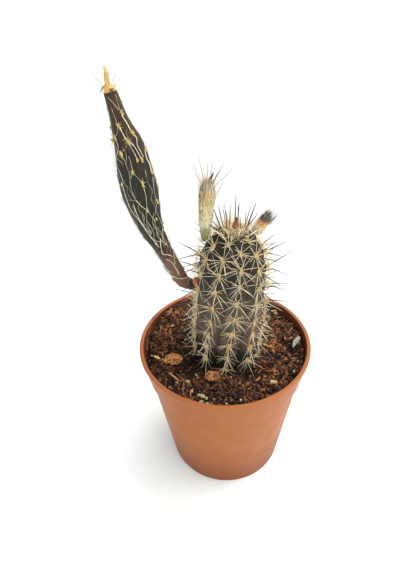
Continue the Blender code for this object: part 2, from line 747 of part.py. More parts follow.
def make_crown(shape, rim):
    """Close the top: a sloping band of quads, and a flat middle for the crown bud."""
    along, right, back = stem_frame(STEM_HEIGHT)
    centre = stem_axis(STEM_HEIGHT)
    inner = []
    for vertex in rim:
        spoke = vertex.co - centre
        spoke = (spoke - spoke.dot(along) * along).normalized()
        inner.append(shape.verts.new(centre + 1.1 * CROWN_BUD_RADIUS * spoke))
    band = join_rings(shape, rim, inner)
    shape.faces.new(inner)
    return band, along


def make_root(shape, rim):
    """Carry the ribbed foot down into the soil as a tapering root."""
    rings = [rim]
    for height, share in ROOT_RINGS:
        centre = stem_axis(height)
        ring = []
        for vertex in rim:
            spoke = vertex.co - stem_axis(FIRST_ROW)
            ring.append(shape.verts.new(centre + share * Vector((spoke.x, spoke.y, 0))))
        rings.append(ring)
    for upper, lower in zip(rings, rings[1:]):
        join_rings(shape, lower, upper)
    shape.faces.new(reversed(rings[-1]))


def grow_crown_spines(shape, spines, band, along, draw):
    """Upright spines round the middle of the crown, fanned outwards a little."""
    centre = stem_axis(STEM_HEIGHT)
    for number, face in enumerate(band):
        if number % 2:
            continue
        root = face.calc_center_median()
        spoke = (root - centre - (root - centre).dot(along) * along).normalized()
        small = narrow(shape, face, 0.6)

        def tip():
            lean = draw.uniform(0.2, 0.55)
            reach = draw.uniform(*CROWN_SPINE)
            return root + reach * (along + lean * spoke).normalized()

        spines.grow(shape, small, -1 - number, tip)


def grow_areole_spines(shape, spines, number, areole, draw):
    """Radial spines round a cushion, and longer central ones from its shoulder and middle."""
    height, size, out, across, up, sides, shoulders, cap = areole
    upper = height > LONG_SPINES_FROM
    scale = 0.55 + 0.45 * size / AREOLE_RADIUS
    central = UPPER_CENTRAL if upper else LOWER_CENTRAL

    def around(face, angle, rise, lengths):
        root = face.calc_center_median()

        def tip():
            turn = angle + draw.uniform(-0.16, 0.16)
            lean = rise + draw.uniform(-0.12, 0.12)
            flat = math.cos(turn) * across + math.sin(turn) * up
            return root + scale * draw.uniform(*lengths) * (math.cos(lean) * flat + math.sin(lean) * out)

        return tip

    middle_angle = math.radians(80.0 if upper else -80.0)
    middle_rise = math.radians(draw.uniform(50.0, 75.0))
    spines.grow(shape, cap, number, around(cap, middle_angle, middle_rise, central))
    for side, face in enumerate(sides):
        angle = FULL_TURN * (side + 0.5) / AREOLE_SIDES
        rise = math.radians(24.0 if side % 2 else 34.0)
        spines.grow(shape, face, number, around(face, angle, rise, RADIAL_LENGTH))
    long_ones = (1, 3) if upper else (4, 7)
    for side, face in enumerate(shoulders):
        angle = FULL_TURN * (side + 0.5) / AREOLE_SIDES
        if side in long_ones:
            lengths = [0.85 * length for length in central]
            spines.grow(shape, face, number, around(face, angle, math.radians(52.0), lengths))
        elif side % 2:
            spines.grow(shape, face, number, around(face, angle, math.radians(46.0), RADIAL_LENGTH))


def main():
    """Build the pot, the soil, what lies on it, and the plant."""
    clear_scene()
    make_pot()
    soil = make_soil()
    rows = row_heights()
    others = [soil]
    for name, place, sizes, degrees, faces, rough in LOOSE_BITS:
        others.append(make_loose_bit(name, place, sizes, degrees, faces, rough, soil))
    others += [make_pod(), make_pod_seat()]
    make_dry_flower()
    bud = (flower_foot(BUD_AREOLE, rows), BUD_LEAN, BUD_PROFILE, BUD_BRISTLE)
    others.append(bristly_tube("woolly_bud", "straw_wool", *bud, bristle_bands=3))
    stump = (flower_foot(STUMP_AREOLE, rows), STUMP_LEAN, STUMP_PROFILE, STUMP_BRISTLE)
    others.append(bristly_tube("flower_stump", "grey_wool", *stump, bristle_bands=2))
    others.append(make_crown_bud())
    make_stem([tree_of(item) for item in others], rows)


main()
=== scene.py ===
"""A small ribbed cactus with a dried seed pod and flower remains, in a plain plastic nursery pot.

Run as a script, it dresses the fixed frame of the part: every surface is worked out with numpy and
put into the frame's own place, in metres, +Z up, -Y the front. Each piece has one operator, and the
sizes and colours that a user would change are in the property groups.
"""

import itertools
import math

import bmesh
import bpy
import numpy as np
from bpy.props import FloatProperty, FloatVectorProperty, IntProperty, PointerProperty
from bpy.types import Operator, Panel, PropertyGroup
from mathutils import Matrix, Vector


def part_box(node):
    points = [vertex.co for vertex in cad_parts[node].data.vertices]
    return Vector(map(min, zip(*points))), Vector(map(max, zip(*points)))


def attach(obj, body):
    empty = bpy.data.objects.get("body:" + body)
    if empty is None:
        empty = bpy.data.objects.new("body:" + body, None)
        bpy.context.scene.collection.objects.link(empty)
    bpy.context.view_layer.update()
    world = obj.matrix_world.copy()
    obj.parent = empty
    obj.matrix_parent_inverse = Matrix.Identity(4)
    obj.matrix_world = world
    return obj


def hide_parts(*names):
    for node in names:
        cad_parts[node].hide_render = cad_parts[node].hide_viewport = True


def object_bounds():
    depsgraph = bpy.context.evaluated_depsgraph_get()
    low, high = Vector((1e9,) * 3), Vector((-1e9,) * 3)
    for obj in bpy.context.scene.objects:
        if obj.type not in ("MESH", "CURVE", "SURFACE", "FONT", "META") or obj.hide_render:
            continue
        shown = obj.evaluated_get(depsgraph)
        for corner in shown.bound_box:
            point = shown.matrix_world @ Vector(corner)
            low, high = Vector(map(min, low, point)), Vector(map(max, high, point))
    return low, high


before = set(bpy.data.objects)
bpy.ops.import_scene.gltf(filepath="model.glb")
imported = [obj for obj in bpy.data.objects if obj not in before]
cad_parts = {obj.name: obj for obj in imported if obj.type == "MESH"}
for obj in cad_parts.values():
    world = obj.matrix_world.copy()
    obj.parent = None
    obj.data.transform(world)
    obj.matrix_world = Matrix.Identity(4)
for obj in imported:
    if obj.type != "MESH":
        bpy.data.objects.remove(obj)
CAD_BOX = [list(corner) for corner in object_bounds()]

bl_info = {
    "name": "Potted ribbed cactus",
    "version": (1, 0, 0),
    "blender": (4, 5, 0),
    "location": "3D View > Sidebar > Cactus",
    "description": "Builds a potted ribbed cactus with a seed pod, and a plain studio round it",
    "category": "Add Mesh",
}

MM = 0.001
TAU = 2.0 * math.pi
RIGHT = np.array((1.0, 0.0, 0.0))
BACK = np.array((0.0, 1.0, 0.0))
UP = np.array((0.0, 0.0, 1.0))
# How far hairs stay inside the solids' box
BOX_SPARE = 0.1 * MM
# Half widths along a short wool fibre, as shares of its own
WOOL_FIBRE = np.array((0.0, 1.0, 0.9, 0.6, 0.0))
# Large primes that scatter the lattice points of the noise
NOISE_PRIMES = np.array((73856093, 19349663, 83492791))

# The pot, as the frame holds it
POT_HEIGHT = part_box("pot")[1].z
RIM_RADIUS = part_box("pot")[1].x
COLLAR_BOTTOM = 39.7 * MM
COLLAR_RADIUS = 25.65 * MM
BODY_RADIUS = 25.0 * MM
BASE_RADIUS = 20.3 * MM
WALL = 0.8 * MM
FLOOR = 1.0 * MM
LIP = 0.45 * MM
DRAIN_RADIUS = 1.8 * MM
DRAIN_CIRCLE = 12.0 * MM
DRAIN_COUNT = 5
# The share of the section's points, from its foot outside, past which they face inwards
INSIDE_FROM = 0.62
# Points nearer than this are merged, and edges sharper than this are creased
WELD_GAP = 0.002 * MM
CREASE = math.radians(40.0)
# How far loose bits stay inside the pot's wall
WALL_GAP = 0.02 * MM

# The soil: its level, its gaps to the pot and the root, and its mounds and hollows as (x, y, rise, width)
SOIL_LEVEL = 46.9 * MM
SOIL_EDGE_GAP = 0.04 * MM
ROOT_GAP = 0.15 * MM
SOIL_FORMS = np.array((
    (-19.0, 14.0, 2.0, 8.0),
    (-24.5, -5.0, -2.0, 6.0),
    (22.0, 4.0, 1.0, 6.0),
    (-16.0, -8.0, 0.6, 4.5),
    (-10.0, -6.0, -2.6, 3.6),
    (7.5, -12.0, -2.0, 3.6),
    (-3.0, -16.0, 0.7, 4.0),
)) * MM

# The stem: its axis leans right and bows towards the front
FOOT = np.array((0.75, -1.08, 46.0)) * MM
LEAN_RIGHT = 0.046
LEAN_FRONT = 0.05
BOW_FRONT = 1.5
STEM_RADIUS = 9.95 * MM
STEM_HEIGHT = 46.9 * MM
SHOULDER_FROM = 13.9 * MM
SHOULDER_POWER = 4.9
FOOT_TAPER = 0.056
RIBS = 10
RIB_DEPTH = 1.15 * MM
FIRST_RIB_TURN = math.radians(-78.3)
RIB_TWIST = 0.33 / (40.0 * MM)
RIB_SWAY = np.radians((-9.0, -1.0, 0.0, 4.0, 0.0, 0.0, 0.0, 0.0, 0.0, -4.0))
SWAY_FROM, SWAY_TO = 8.0 * MM, 38.0 * MM
GROUND = 1.2 * MM
SKIN_FROM, SKIN_TO = -3.0 * MM, STEM_HEIGHT - 0.05 * MM

# The areoles stand in staggered half rows, whose pitch changes as (height, pitch)
FIRST_ROW = 1.8 * MM
HALF_ROWS = 19
ROW_PITCH = np.array(((0.0, 3.08), (13.0, 2.6), (27.0, 3.12), (33.0, 2.8), (46.0, 1.2))) * MM
SEAT_CLEAR = 2.1 * MM
SPINES_CLEAR_OF = (("pod_seat", 1.12 * MM), ("crown_bud", 0.8 * MM))

# The woolly bud and the flower stump stand on ribs, this high and this far off the skin
BUD_RIB = 9
STUMP_RIB = 5
FLOWER_HEIGHT = 42.76 * MM
SEAT_GAP = 0.45 * MM

# The seed pod: its axis in a plane as (x, z, radius)
POD_PLANE = -4.0 * MM
POD_HOOK = 2
POD_PATH = np.array((
    (-7.5, 73.9, 1.0),
    (-8.5, 74.15, 1.25),
    (-9.45, 74.7, 1.4),
    (-10.8, 75.3, 1.6),
    (-12.0, 76.9, 1.8),
    (-13.2, 79.8, 1.9),
    (-15.8, 86.0, 2.0),
    (-18.5, 93.4, 3.05),
    (-20.1, 103.0, 4.4),
    (-21.1, 112.7, 3.5),
    (-22.5, 119.3, 1.95),
    (-23.6, 125.0, 1.4),
)) * MM
# Legs of the path past its hook
POD_LEGS = len(POD_PATH) - 1 - POD_HOOK
# Knots round and along the pod's net, the seed that places them, and how high strands and tufts lie
POD_COLUMNS = 9
POD_ROWS = 17
NET_SEED = 61
STRAND_LIFT = 0.16 * MM
TUFT_LIFT = 0.2 * MM
# The felted seat: its shift in its node's place, and half its size
SEAT_SHIFT = np.array((0.6, -0.45, 0.35)) * MM
SEAT_HALF = np.array((1.2, 1.2, 1.45)) * MM

# Where the camera stands, and its sensor and focal length in millimetres
VIEWPOINT = np.array((0.0, -96.16, 139.99)) * MM
SENSOR = 36.0
FOCAL = 400.0 * SENSOR / 570.0

# The raised strands on the side that the camera sees: brightness, half width in millimetres, then for
# each place the legs of the path past its hook, and the share across the visible width
POD_STRANDS = (
    (0.5, 0.08, 8.9, 0.6, 8.65, 0.5, 8.4, 0.45, 8.22, 0.45),
    (0.62, 0.1, 8.95, 0.99, 8.6, 0.98, 8.2, 0.99, 7.8, 0.99, 7.4, 0.98),
    (1.0, 0.13, 8.22, 0.45, 8.1, 0.46, 7.9, 0.57, 7.54, 0.57),
    (0.9, 0.13, 7.85, -0.2, 7.6, -0.12, 7.38, 0.0),
    (0.75, 0.12, 7.46, 0.59, 7.34, 0.7, 7.17, 0.55, 7.0, 0.59, 6.82, 0.68),
    (0.6, 0.11, 7.3, 0.03, 7.06, 0.17, 6.85, 0.27),
    (0.8, 0.12, 7.33, 0.15, 7.14, 0.34, 6.95, 0.44, 6.8, 0.52),
    (0.4, 0.09, 8.5, -0.45, 7.9, -0.35, 7.55, -0.74),
    (0.45, 0.08, 8.9, -0.5, 8.6, 0.0, 8.35, 0.35),
    (0.5, 0.12, 7.44, -0.75, 7.23, -0.7, 7.0, -0.88, 6.79, -0.95, 6.51, -0.78, 6.34, -0.75),
    (0.45, 0.09, 6.96, -0.17, 6.79, -0.14, 6.57, -0.13),
    (0.4, 0.1, 6.95, -0.5, 6.75, -0.41, 6.53, -0.34, 6.3, -0.4, 6.1, -0.38, 5.94, -0.33),
    (0.5, 0.09, 6.55, -0.14, 6.45, -0.36),
    (0.5, 0.09, 6.55, -0.1, 6.41, 0.1, 6.29, 0.2),
    (0.55, 0.1, 6.2, 0.23, 5.97, 0.22, 5.77, 0.15, 5.61, 0.09),
    (0.7, 0.12, 5.94, -0.34, 5.77, -0.17, 5.61, 0.09),
    (0.5, 0.1, 5.6, 0.1, 5.42, 0.23, 5.26, 0.35, 4.98, 0.38, 4.71, 0.56, 4.3, 0.45),
    (0.45, 0.09, 5.6, 0.0, 5.42, -0.07, 5.2, -0.22, 4.9, -0.15),
    (1.0, 0.15, 6.96, 0.88, 6.79, 0.81, 6.63, 0.87, 6.43, 0.84),
    (0.55, 0.1, 6.35, 0.82, 6.15, 0.76, 5.97, 0.71, 5.72, 0.73),
    (0.5, 0.1, 5.7, 0.75, 5.53, 0.61, 5.39, 0.65, 5.15, 0.79, 4.87, 0.83, 4.7, 0.66),
    (0.75, 0.14, 6.32, -0.8, 5.95, -0.78, 5.65, -0.78, 5.35, -0.58, 4.85, -0.43, 4.25, -0.3),
    (0.7, 0.12, 5.83, -0.53, 5.59, -0.55, 5.32, -0.53, 5.09, -0.42, 4.86, -0.2),
    (0.3, 0.1, 6.32, -0.72, 6.24, -0.52, 6.05, -0.4, 5.94, -0.34),
    (0.3, 0.12, 5.95, -0.7, 5.93, -0.34),
    (0.55, 0.1, 5.36, -0.15, 5.07, -0.02, 4.86, -0.05, 4.71, -0.25, 4.54, -0.1, 4.41, 0.49),
    (0.5, 0.08, 5.1, 0.1, 4.9, 0.25, 4.6, 0.2, 4.3, 0.45),
    (0.45, 0.08, 5.6, -0.2, 5.3, -0.35, 5.0, -0.25, 4.7, -0.5),
    (0.95, 0.14, 4.83, 0.78, 4.59, 0.99, 4.37, 1.0, 4.2, 0.97),
    (0.8, 0.12, 4.6, 0.3, 4.49, 0.13, 4.19, -0.24, 3.99, -0.33, 3.89, 0.12, 3.68, 0.59),
    (0.75, 0.11, 3.81, 0.95, 3.59, 0.58, 3.37, 0.24),
    (0.85, 0.11, 3.77, -0.37, 3.6, -0.02, 3.3, 0.11, 2.71, 0.07),
    (0.85, 0.11, 2.85, -0.8, 2.64, -0.5, 2.1, 0.3, 1.6, 0.9),
    (0.5, 0.08, 1.5, 0.8, 0.9, 0.3, 0.46, 0.0),
    (0.45, 0.08, 5.5, 0.45, 5.2, 0.2, 4.95, 0.3, 4.75, 0.1, 4.5, 0.25),
    (0.4, 0.08, 5.9, -0.1, 5.7, -0.35, 5.45, -0.2, 5.2, -0.45, 4.95, -0.3),
    (0.4, 0.07, 6.6, 0.55, 6.3, 0.5, 6.05, 0.62, 5.85, 0.45, 5.6, 0.6, 5.35, 0.45),
    (0.35, 0.07, 7.25, -0.45, 7.0, -0.3, 6.75, -0.42, 6.55, -0.25),
    (0.45, 0.08, 4.75, 0.7, 4.55, 0.6, 4.35, 0.7, 4.1, 0.55),
    (0.35, 0.07, 6.3, -0.55, 6.1, -0.65, 5.9, -0.5, 5.7, -0.65, 5.5, -0.5),
    (0.4, 0.07, 5.0, 0.55, 4.8, 0.35, 4.6, 0.5, 4.4, 0.3, 4.2, 0.2),
    (0.35, 0.07, 7.7, 0.3, 7.5, 0.15, 7.35, 0.25, 7.15, 0.1),
)
# Tufts on that side: legs, share across, size, and how long they are drawn out
POD_TUFTS = (
    (8.26, 0.5, 0.8, 1.9), (7.89, -0.26, 1.2, 1.1), (7.51, 0.6, 1.0, 1.3), (7.53, -0.76, 0.8, 1.5),
    (7.35, 0.04, 1.3, 1.0), (6.96, 0.92, 0.8, 1.2), (7.03, -0.55, 1.0, 2.6), (6.82, 0.25, 0.8, 1.2),
    (6.79, 0.5, 0.9, 1.0), (6.57, -0.13, 0.8, 1.0), (6.43, 0.84, 0.8, 1.3), (6.32, -0.8, 0.7, 1.2),
    (6.29, 0.23, 0.9, 3.0), (5.71, 0.75, 0.9, 1.1), (5.61, 0.09, 0.8, 1.0), (5.28, 0.51, 0.5, 1.0),
    (4.3, 0.45, 0.6, 1.2), (4.5, -0.35, 0.5, 1.2),
)

# The dried flower on the pod: (x, z, radius)
FLOWER_PATH = np.array((
    (-23.6, 124.7, 1.3),
    (-23.64, 125.3, 1.35),
    (-23.7, 125.9, 1.12),
    (-23.8, 126.7, 0.66),
    (-23.75, 127.6, 0.34),
    (-23.75, 128.5, 0.44),
    (-23.85, 129.3, 0.34),
    (-23.95, 130.1, 0.12),
)) * MM

# The woolly bud and the flower stump: (height along the axis, radius)
BUD_PROFILE = np.array((
    (0.0, 0.55), (0.9, 0.9), (1.8, 1.05), (5.0, 1.65), (9.2, 1.85), (12.2, 1.95), (13.6, 1.72), (14.8, 1.25),
    (15.6, 0.8), (16.2, 0.4),
)) * MM
BUD_LEAN = np.array((0.085, 0.0, 1.0))
BUD_SHIFT = np.array((-0.2, 0.0, 0.0)) * MM
STUMP_PROFILE = np.array((
    (0.0, 1.1), (1.6, 1.3), (3.4, 1.35), (4.6, 1.25), (5.8, 1.05), (6.5, 0.6),
)) * MM
STUMP_LEAN = np.array((0.62, 0.0, 1.0))
STUMP_SHIFT = np.array((-0.5, 0.0, 0.3)) * MM

# Stiff bristles on the bud, the stump and the crown, as seen from the front, in millimetres and degrees:
# how far right and back of the middle they stand, their height up the piece, leans to the right and
# back, length, half width and darkness; the last two lines lengthen and widen them all
BUD_BRISTLES = (
    (-1.3, 0.0, 14.6, -22, 0, 4.9, 0.06, 0.7),
    (-0.7, 0.3, 15.2, -12, 5, 5.9, 0.06, 0.6),
    (-0.4, 0.6, 15.4, -8, 15, 5.2, 0.04, 0.3),
    (0.0, 0.3, 15.6, 0, 8, 5.7, 0.05, 0.5),
    (0.6, 0.3, 15.4, 9, 6, 4.8, 0.05, 0.5),
    (0.9, 0.0, 15.2, 33, -5, 5.2, 0.065, 0.8),
    (1.4, 0.2, 14.4, 50, 5, 5.7, 0.055, 0.7),
    (1.0, -0.4, 15.0, 24, -15, 3.0, 0.06, 0.7),
    (1.8, 0.0, 11.5, 29, 0, 4.6, 0.06, 0.6),
    (-1.8, 0.0, 12.6, -8, 0, 3.6, 0.05, 0.4),
    (-1.0, -0.6, 14.8, -16, -25, 3.4, 0.04, 0.3),
    (0.2, 0.9, 15.0, 14, 40, 4.0, 0.05, 0.5),
    (0.3, -0.3, 16.0, 29, -8, 2.1, 0.22, 1.0),
)
STUMP_BRISTLES = (
    (1.2, -0.3, 4.4, 42, 0, 3.0, 0.08, 0.8),
    (1.3, 0.1, 3.8, 52, 5, 3.8, 0.07, 0.8),
    (1.3, -0.4, 3.4, 48, -10, 2.6, 0.07, 0.9),
    (1.3, 0.2, 2.8, 66, 0, 3.4, 0.06, 0.7),
    (1.2, 0.0, 3.2, 58, 20, 3.0, 0.06, 0.6),
    (1.1, 0.3, 4.8, 30, 10, 2.6, 0.06, 0.7),
    (0.0, -1.2, 3.6, 20, -40, 2.2, 0.06, 0.7),
)
CROWN_SPINES = (
    (-2.2, -0.6, 0.0, -64, 0, 4.2, 0.13, 0.5),
    (-4.2, 0.2, 0.0, -34, 0, 3.2, 0.1, 0.9),
    (-3.0, 0.8, 0.0, -46, 5, 3.8, 0.09, 0.7),
    (-3.0, 0.6, 0.0, -21, 4, 5.6, 0.14, 0.9),
    (-2.5, 0.9, 0.0, -14, 6, 5.2, 0.14, 0.9),
    (-1.9, -0.4, 0.0, -1, 0, 4.6, 0.1, 0.7),
    (-1.2, 0.9, 0.0, 2, 3, 5.2, 0.12, 0.5),
    (0.1, 1.3, 0.0, 2, 4, 6.9, 0.13, 0.6),
    (0.9, 0.9, 0.0, 0, 2, 5.2, 0.12, 0.5),
    (1.7, -0.6, 0.0, -6, -8, 4.0, 0.1, 0.7),
    (2.3, 0.8, 0.0, 17, 5, 5.2, 0.1, 0.7),
    (2.6, 0.3, 0.0, 21, 3, 6.6, 0.14, 0.9),
    (0.8, 2.4, 0.0, 8, 40, 5.2, 0.11, 0.8),
    (-1.6, 2.6, 0.0, -12, 46, 5.0, 0.11, 0.8),
    (2.8, 1.8, 0.0, 46, 24, 4.4, 0.11, 0.8),
    (-0.4, -2.4, 0.0, -5, -50, 3.8, 0.1, 0.7),
)
BRISTLE_LENGTHEN = 1.32
BRISTLE_WIDEN = 1.6

# The frame's own pale grains
PUMICE_NODES = ("pumice_1", "pumice_2", "pumice_3", "pumice_4", "pumice_5")

# Strands and chips laid on the soil: half width, then x and y of each point, in millimetres
LAID_STRANDS = (
    (0.2, -15.2, -12.7, -13.0, -14.4, -12.1, -16.5, -12.2, -19.7, -10.9, -22.0, -8.0, -23.3),
    (0.16, -9.1, -18.2, -9.9, -20.0, -9.7, -22.2),
    (0.42, -21.6, -5.7, -20.2, -6.9, -18.4, -7.8),
    (0.5, -16.9, -12.8, -15.4, -14.2, -13.6, -16.0),
    (0.16, 17.9, -10.8, 18.9, -12.0, 18.4, -13.2),
    (0.15, 13.1, -7.0, 14.4, -7.9, 15.7, -8.3),
    (0.5, 17.0, 16.4, 18.1, 16.8, 19.2, 16.6),
    (0.35, 21.0, 3.9, 22.3, 5.4, 23.2, 7.4),
    (0.4, 14.8, -1.7, 15.6, -1.8, 16.4, -2.2),
    (0.35, 9.1, -15.1, 10.0, -14.5, 10.7, -13.6),
)
# A strip of bark that leans on the pot's inner wall and over its lip
WALL_STRIP = np.array((
    (-25.2, -3.0, 47.5), (-25.5, 1.5, 48.3), (-25.3, 6.0, 49.2), (-24.7, 10.0, 50.0), (-23.4, 13.2, 50.4),
)) * MM
# A dry rust-coloured sheath that hangs at the stem's foot
FOOT_SHEATH = np.array((
    (0.95, -11.7, 57.2), (0.8, -12.3, 55.0), (0.45, -12.5, 52.2), (0.2, -12.4, 49.6), (0.0, -12.2, 47.9),
)) * MM
# Reddish patches of coir in the mix, and the places darkened as painted shade, as (x, y, width)
RUSTY = np.array((
    (-20.0, 15.0, 4.6), (-16.6, -7.6, 3.8), (17.8, 4.8, 3.6), (14.0, -1.0, 3.0), (-3.0, -14.2, 2.6),
    (12.0, -13.0, 3.4), (6.0, -15.5, 2.6), (22.0, -8.0, 2.4), (-20.5, 5.0, 3.6), (-15.0, 9.0, 2.8),
)) * MM
PAINTED_SHADE_PATCHES = np.array((
    (-10.0, -6.6, 4.2), (-7.5, -9.5, 3.0), (7.0, -11.5, 3.2), (-24.5, -3.0, 2.6), (2.0, -10.5, 3.0),
    (-11.5, 3.0, 2.6),
)) * MM
LAID_GRAINS = np.array((
    (-9.7, -19.3, 0.6), (-8.6, -13.1, 0.45), (-11.7, -15.5, 0.4), (-14.3, -16.0, 0.45), (22.9, -7.4, 0.5),
    (-7.4, -20.8, 0.6), (-5.0, -23.7, 0.55), (-6.7, -23.2, 0.7), (-5.3, -21.8, 0.6), (0.4, -23.6, 0.4),
    (15.2, -15.6, 0.5), (4.5, -22.3, 0.35), (-17.9, 8.2, 0.5), (-13.0, 2.5, 0.45), (-4.9, -24.4, 0.45),
)) * MM


def paint(red, green, blue):
    """A colour given as it looks, 0 to 255 a channel, turned into the linear values that shaders take."""
    share = np.array((red, green, blue)) / 255.0
    return tuple(np.where(share < 0.04045, share / 12.92, ((share + 0.055) / 1.055) ** 2.4))


def number_property(name, description, default, **options):
    """A number, or a few of them."""
    kind = FloatVectorProperty if isinstance(default, tuple) else FloatProperty
    return kind(name=name, description=description, default=default, **options)


def size_property(name, description, millimetres):
    """A length, with its default in millimetres."""
    return number_property(name, description, millimetres * MM, unit="LENGTH", min=0.0, precision=5)


def colour_property(name, description, *channels):
    """A colour, with its default as it looks."""
    return number_property(name, description, paint(*channels), subtype="COLOR", min=0.0, max=1.0)


def count_property(name, description, default):
    """A whole number of repeats."""
    return IntProperty(name=name, description=description, default=default, min=0)


class PotSettings(PropertyGroup):
    """The moulded pot."""

    clay: colour_property("Plastic", "Colour of the pot's plastic", 158, 90, 42)
    # The lip's lighter colour is rubbed wear together with a painted highlight along the lip
    wear_and_highlight: colour_property("Lip", "Lighter colour of the rubbed lip", 172, 110, 74)
    stain: colour_property("Stain", "Colour of the earth that clings inside the rim", 74, 44, 34)
    lip_rounding: size_property("Rounding", "How far the corners of the lip are rounded", 0.4)
    sides: count_property("Sides", "Facets round the pot", 200)


class SoilSettings(PropertyGroup):
    """The potting mix and what lies in it."""

    # The dark colour serves as painted shade in the soil's hollows and shaded patches, and as the darkest
    # crumbs' own colour
    dark: colour_property("Dark", "Colour of the damp hollows", 20, 17, 18)
    brown: colour_property("Brown", "Colour of the crumbs", 94, 65, 52)
    rust: colour_property("Rust", "Colour of the reddest crumbs and fibres", 146, 91, 56)
    coir: colour_property("Coir", "Colour of the coir chips", 184, 126, 76)
    pumice: colour_property("Pumice", "Colour of the pale grains", 198, 182, 134)
    crumbs: count_property("Crumbs", "Larger crumbs on the soil", 2600)
    grains: count_property("Grains", "Small grains on the soil", 6500)
    shreds: count_property("Shreds", "Short flat shreds of coir", 560)
    threads: count_property("Threads", "Long thin fibres", 170)
    grit: count_property("Grit", "Small pale grains", 170)


class StemSettings(PropertyGroup):
    """The ribbed stem, its areoles and spines."""

    crown: colour_property("Crown", "Skin colour towards the crown", 46, 39, 34)
    middle: colour_property("Middle", "Skin colour half way up", 72, 66, 54)
    tan: colour_property("Tan", "Colour of the corky skin low down between the ribs", 97, 79, 67)
    foot: colour_property("Foot", "Skin colour at the foot", 36, 39, 31)
    wool: colour_property("Wool", "Colour of the areoles' wool", 224, 184, 118)
    cream: colour_property("Cream", "Colour of the pale spines", 255, 238, 196)
    dusk: colour_property("Dusk", "Colour of the dark central spines", 70, 58, 60)
    tubercle: size_property("Tubercle", "How far a rib sinks between its areoles", 0.42)
    radials: count_property("Radials", "Pale spines round an areole", 14)
    spine_width: size_property("Spine width", "Thickness of a spine near its root", 0.2)


class PodSettings(PropertyGroup):
    """The seed pod and the flower remains."""

    flesh: colour_property("Flesh", "Colour of the pod's middle", 38, 36, 30)
    bark: colour_property("Bark", "Colour of the pod's two ends", 108, 80, 66)
    strand: colour_property("Strand", "Colour of the brightest raised strands", 240, 228, 188)
    tuft: colour_property("Tuft", "Colour of the tufts where strands meet", 222, 192, 110)
    straw: colour_property("Straw", "Colour of the dried flower", 230, 196, 124)
    felt: colour_property("Felt", "Colour of the felted seat", 190, 108, 62)
    strand_width: size_property("Strand width", "Thickness of a strand of the net round the back", 0.24)


class StudioSettings(PropertyGroup):
    """The floor, the lights and the camera."""

    paper: colour_property("Floor", "Colour of the floor", 249, 253, 252)
    # The duller colour behind is painted shade for the light falling off towards the back
    paper_shaded_behind: colour_property("Floor behind", "Colour of the floor behind the pot", 211, 213, 213)
    air: number_property("Air", "Strength of the even light all round", 0.88, min=0.0)
    window: number_property("Window", "Strength of the light from the window", 1.75, min=0.0)
    softness: number_property("Softness", "Width of the window's light", math.radians(62.0), subtype="ANGLE")
    window_side: number_property("Window side", "Towards the window", (0.6, 0.45, 1.0), subtype="DIRECTION")
    lamp: number_property("Side lamp", "Strength of the broad lamp on the right", 2.8, min=0.0)
    lamp_side: number_property("Lamp side", "Towards the side lamp", (1.0, -0.05, 0.45), subtype="DIRECTION")
    focal: number_property("Focal length", "In millimetres on a 36 mm sensor", FOCAL)
    yaw: number_property("Yaw", "Camera's turn to the left", math.radians(-4.11), subtype="ANGLE")
    pitch: number_property("Pitch", "Camera's tilt down", math.radians(35.4), subtype="ANGLE")
    roll: number_property("Roll", "Camera's roll", math.radians(-3.05), subtype="ANGLE")
    place: number_property("Place", "Where the camera stands", tuple(VIEWPOINT), subtype="XYZ", unit="LENGTH")


def unit(vectors):
    """Vectors divided by their length."""
    return vectors / np.maximum(np.linalg.norm(vectors, axis=-1, keepdims=True), 1e-12)


def turns(count):
    """Even turns round a circle, in radians."""
    return np.arange(count) * TAU / count


def spots(*parts):
    """Points from their x, y and z, each a number or an array."""
    return np.stack(np.broadcast_arrays(*parts), axis=-1)


def circle(radius, turn, z=0.0):
    """Points at a radius and a turn round the upright axis, at a height."""
    return spots(radius * np.cos(turn), radius * np.sin(turn), z)


def node_box(node):
    """The middle of a CAD node's box, and half its size."""
    low, high = (np.array(corner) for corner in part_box(node))
    return (low + high) / 2, (high - low) / 2


def toned(share, colour):
    """A colour's channels times a share, or times one share each."""
    return tuple(np.multiply(share, tuple(colour)))


def ease(value, low, high):
    """0 below low, 1 above high, and 3t^2 - 2t^3 in between."""
    t = np.clip((value - low) / (high - low), 0.0, 1.0)
    return t * t * (3.0 - 2.0 * t)


def noise(points, size, seed=0):
    """Value noise from -1 to 1: hashed numbers on a lattice of that size, blended by 3t^2 - 2t^3."""
    place = np.asarray(points) / size + 512.0
    cell = np.floor(place).astype(np.int64)
    part = place - cell
    part = part * part * (3.0 - 2.0 * part)
    total = np.zeros(place.shape[:-1])
    for corner in itertools.product((0, 1), repeat=3):
        key = ((cell + corner) * NOISE_PRIMES).sum(axis=-1) + seed * 7919
        key = (key ^ (key >> 13)) * 1274126177 & 0x7FFFFFFF
        value = ((key ^ (key >> 15)) & 0xFFFF) / 32767.5 - 1.0
        total += value * np.where(corner, part, 1.0 - part).prod(axis=-1)
    return total


def smooth_path(points, places):
    """A Catmull-Rom curve through rows of numbers, read at places counted in rows."""
    chain = np.concatenate(([2 * points[0] - points[1]], points, [2 * points[-1] - points[-2]]))
    places = np.asarray(places, dtype=float)
    leg = np.clip(places.astype(int), 0, len(points) - 2)
    t = (places - leg)[..., None]
    return (
        (-0.5 * t + t**2 - 0.5 * t**3) * chain[leg]
        + (1.0 - 2.5 * t**2 + 1.5 * t**3) * chain[leg + 1]
        + (0.5 * t + 2.0 * t**2 - 1.5 * t**3) * chain[leg + 2]
        + (-0.5 * t**2 + 0.5 * t**3) * chain[leg + 3]
    )


def threaded(points, steps):
    """The whole smooth curve through rows of numbers, in even steps."""
    return smooth_path(points, np.linspace(0.0, len(points) - 1.0, steps))


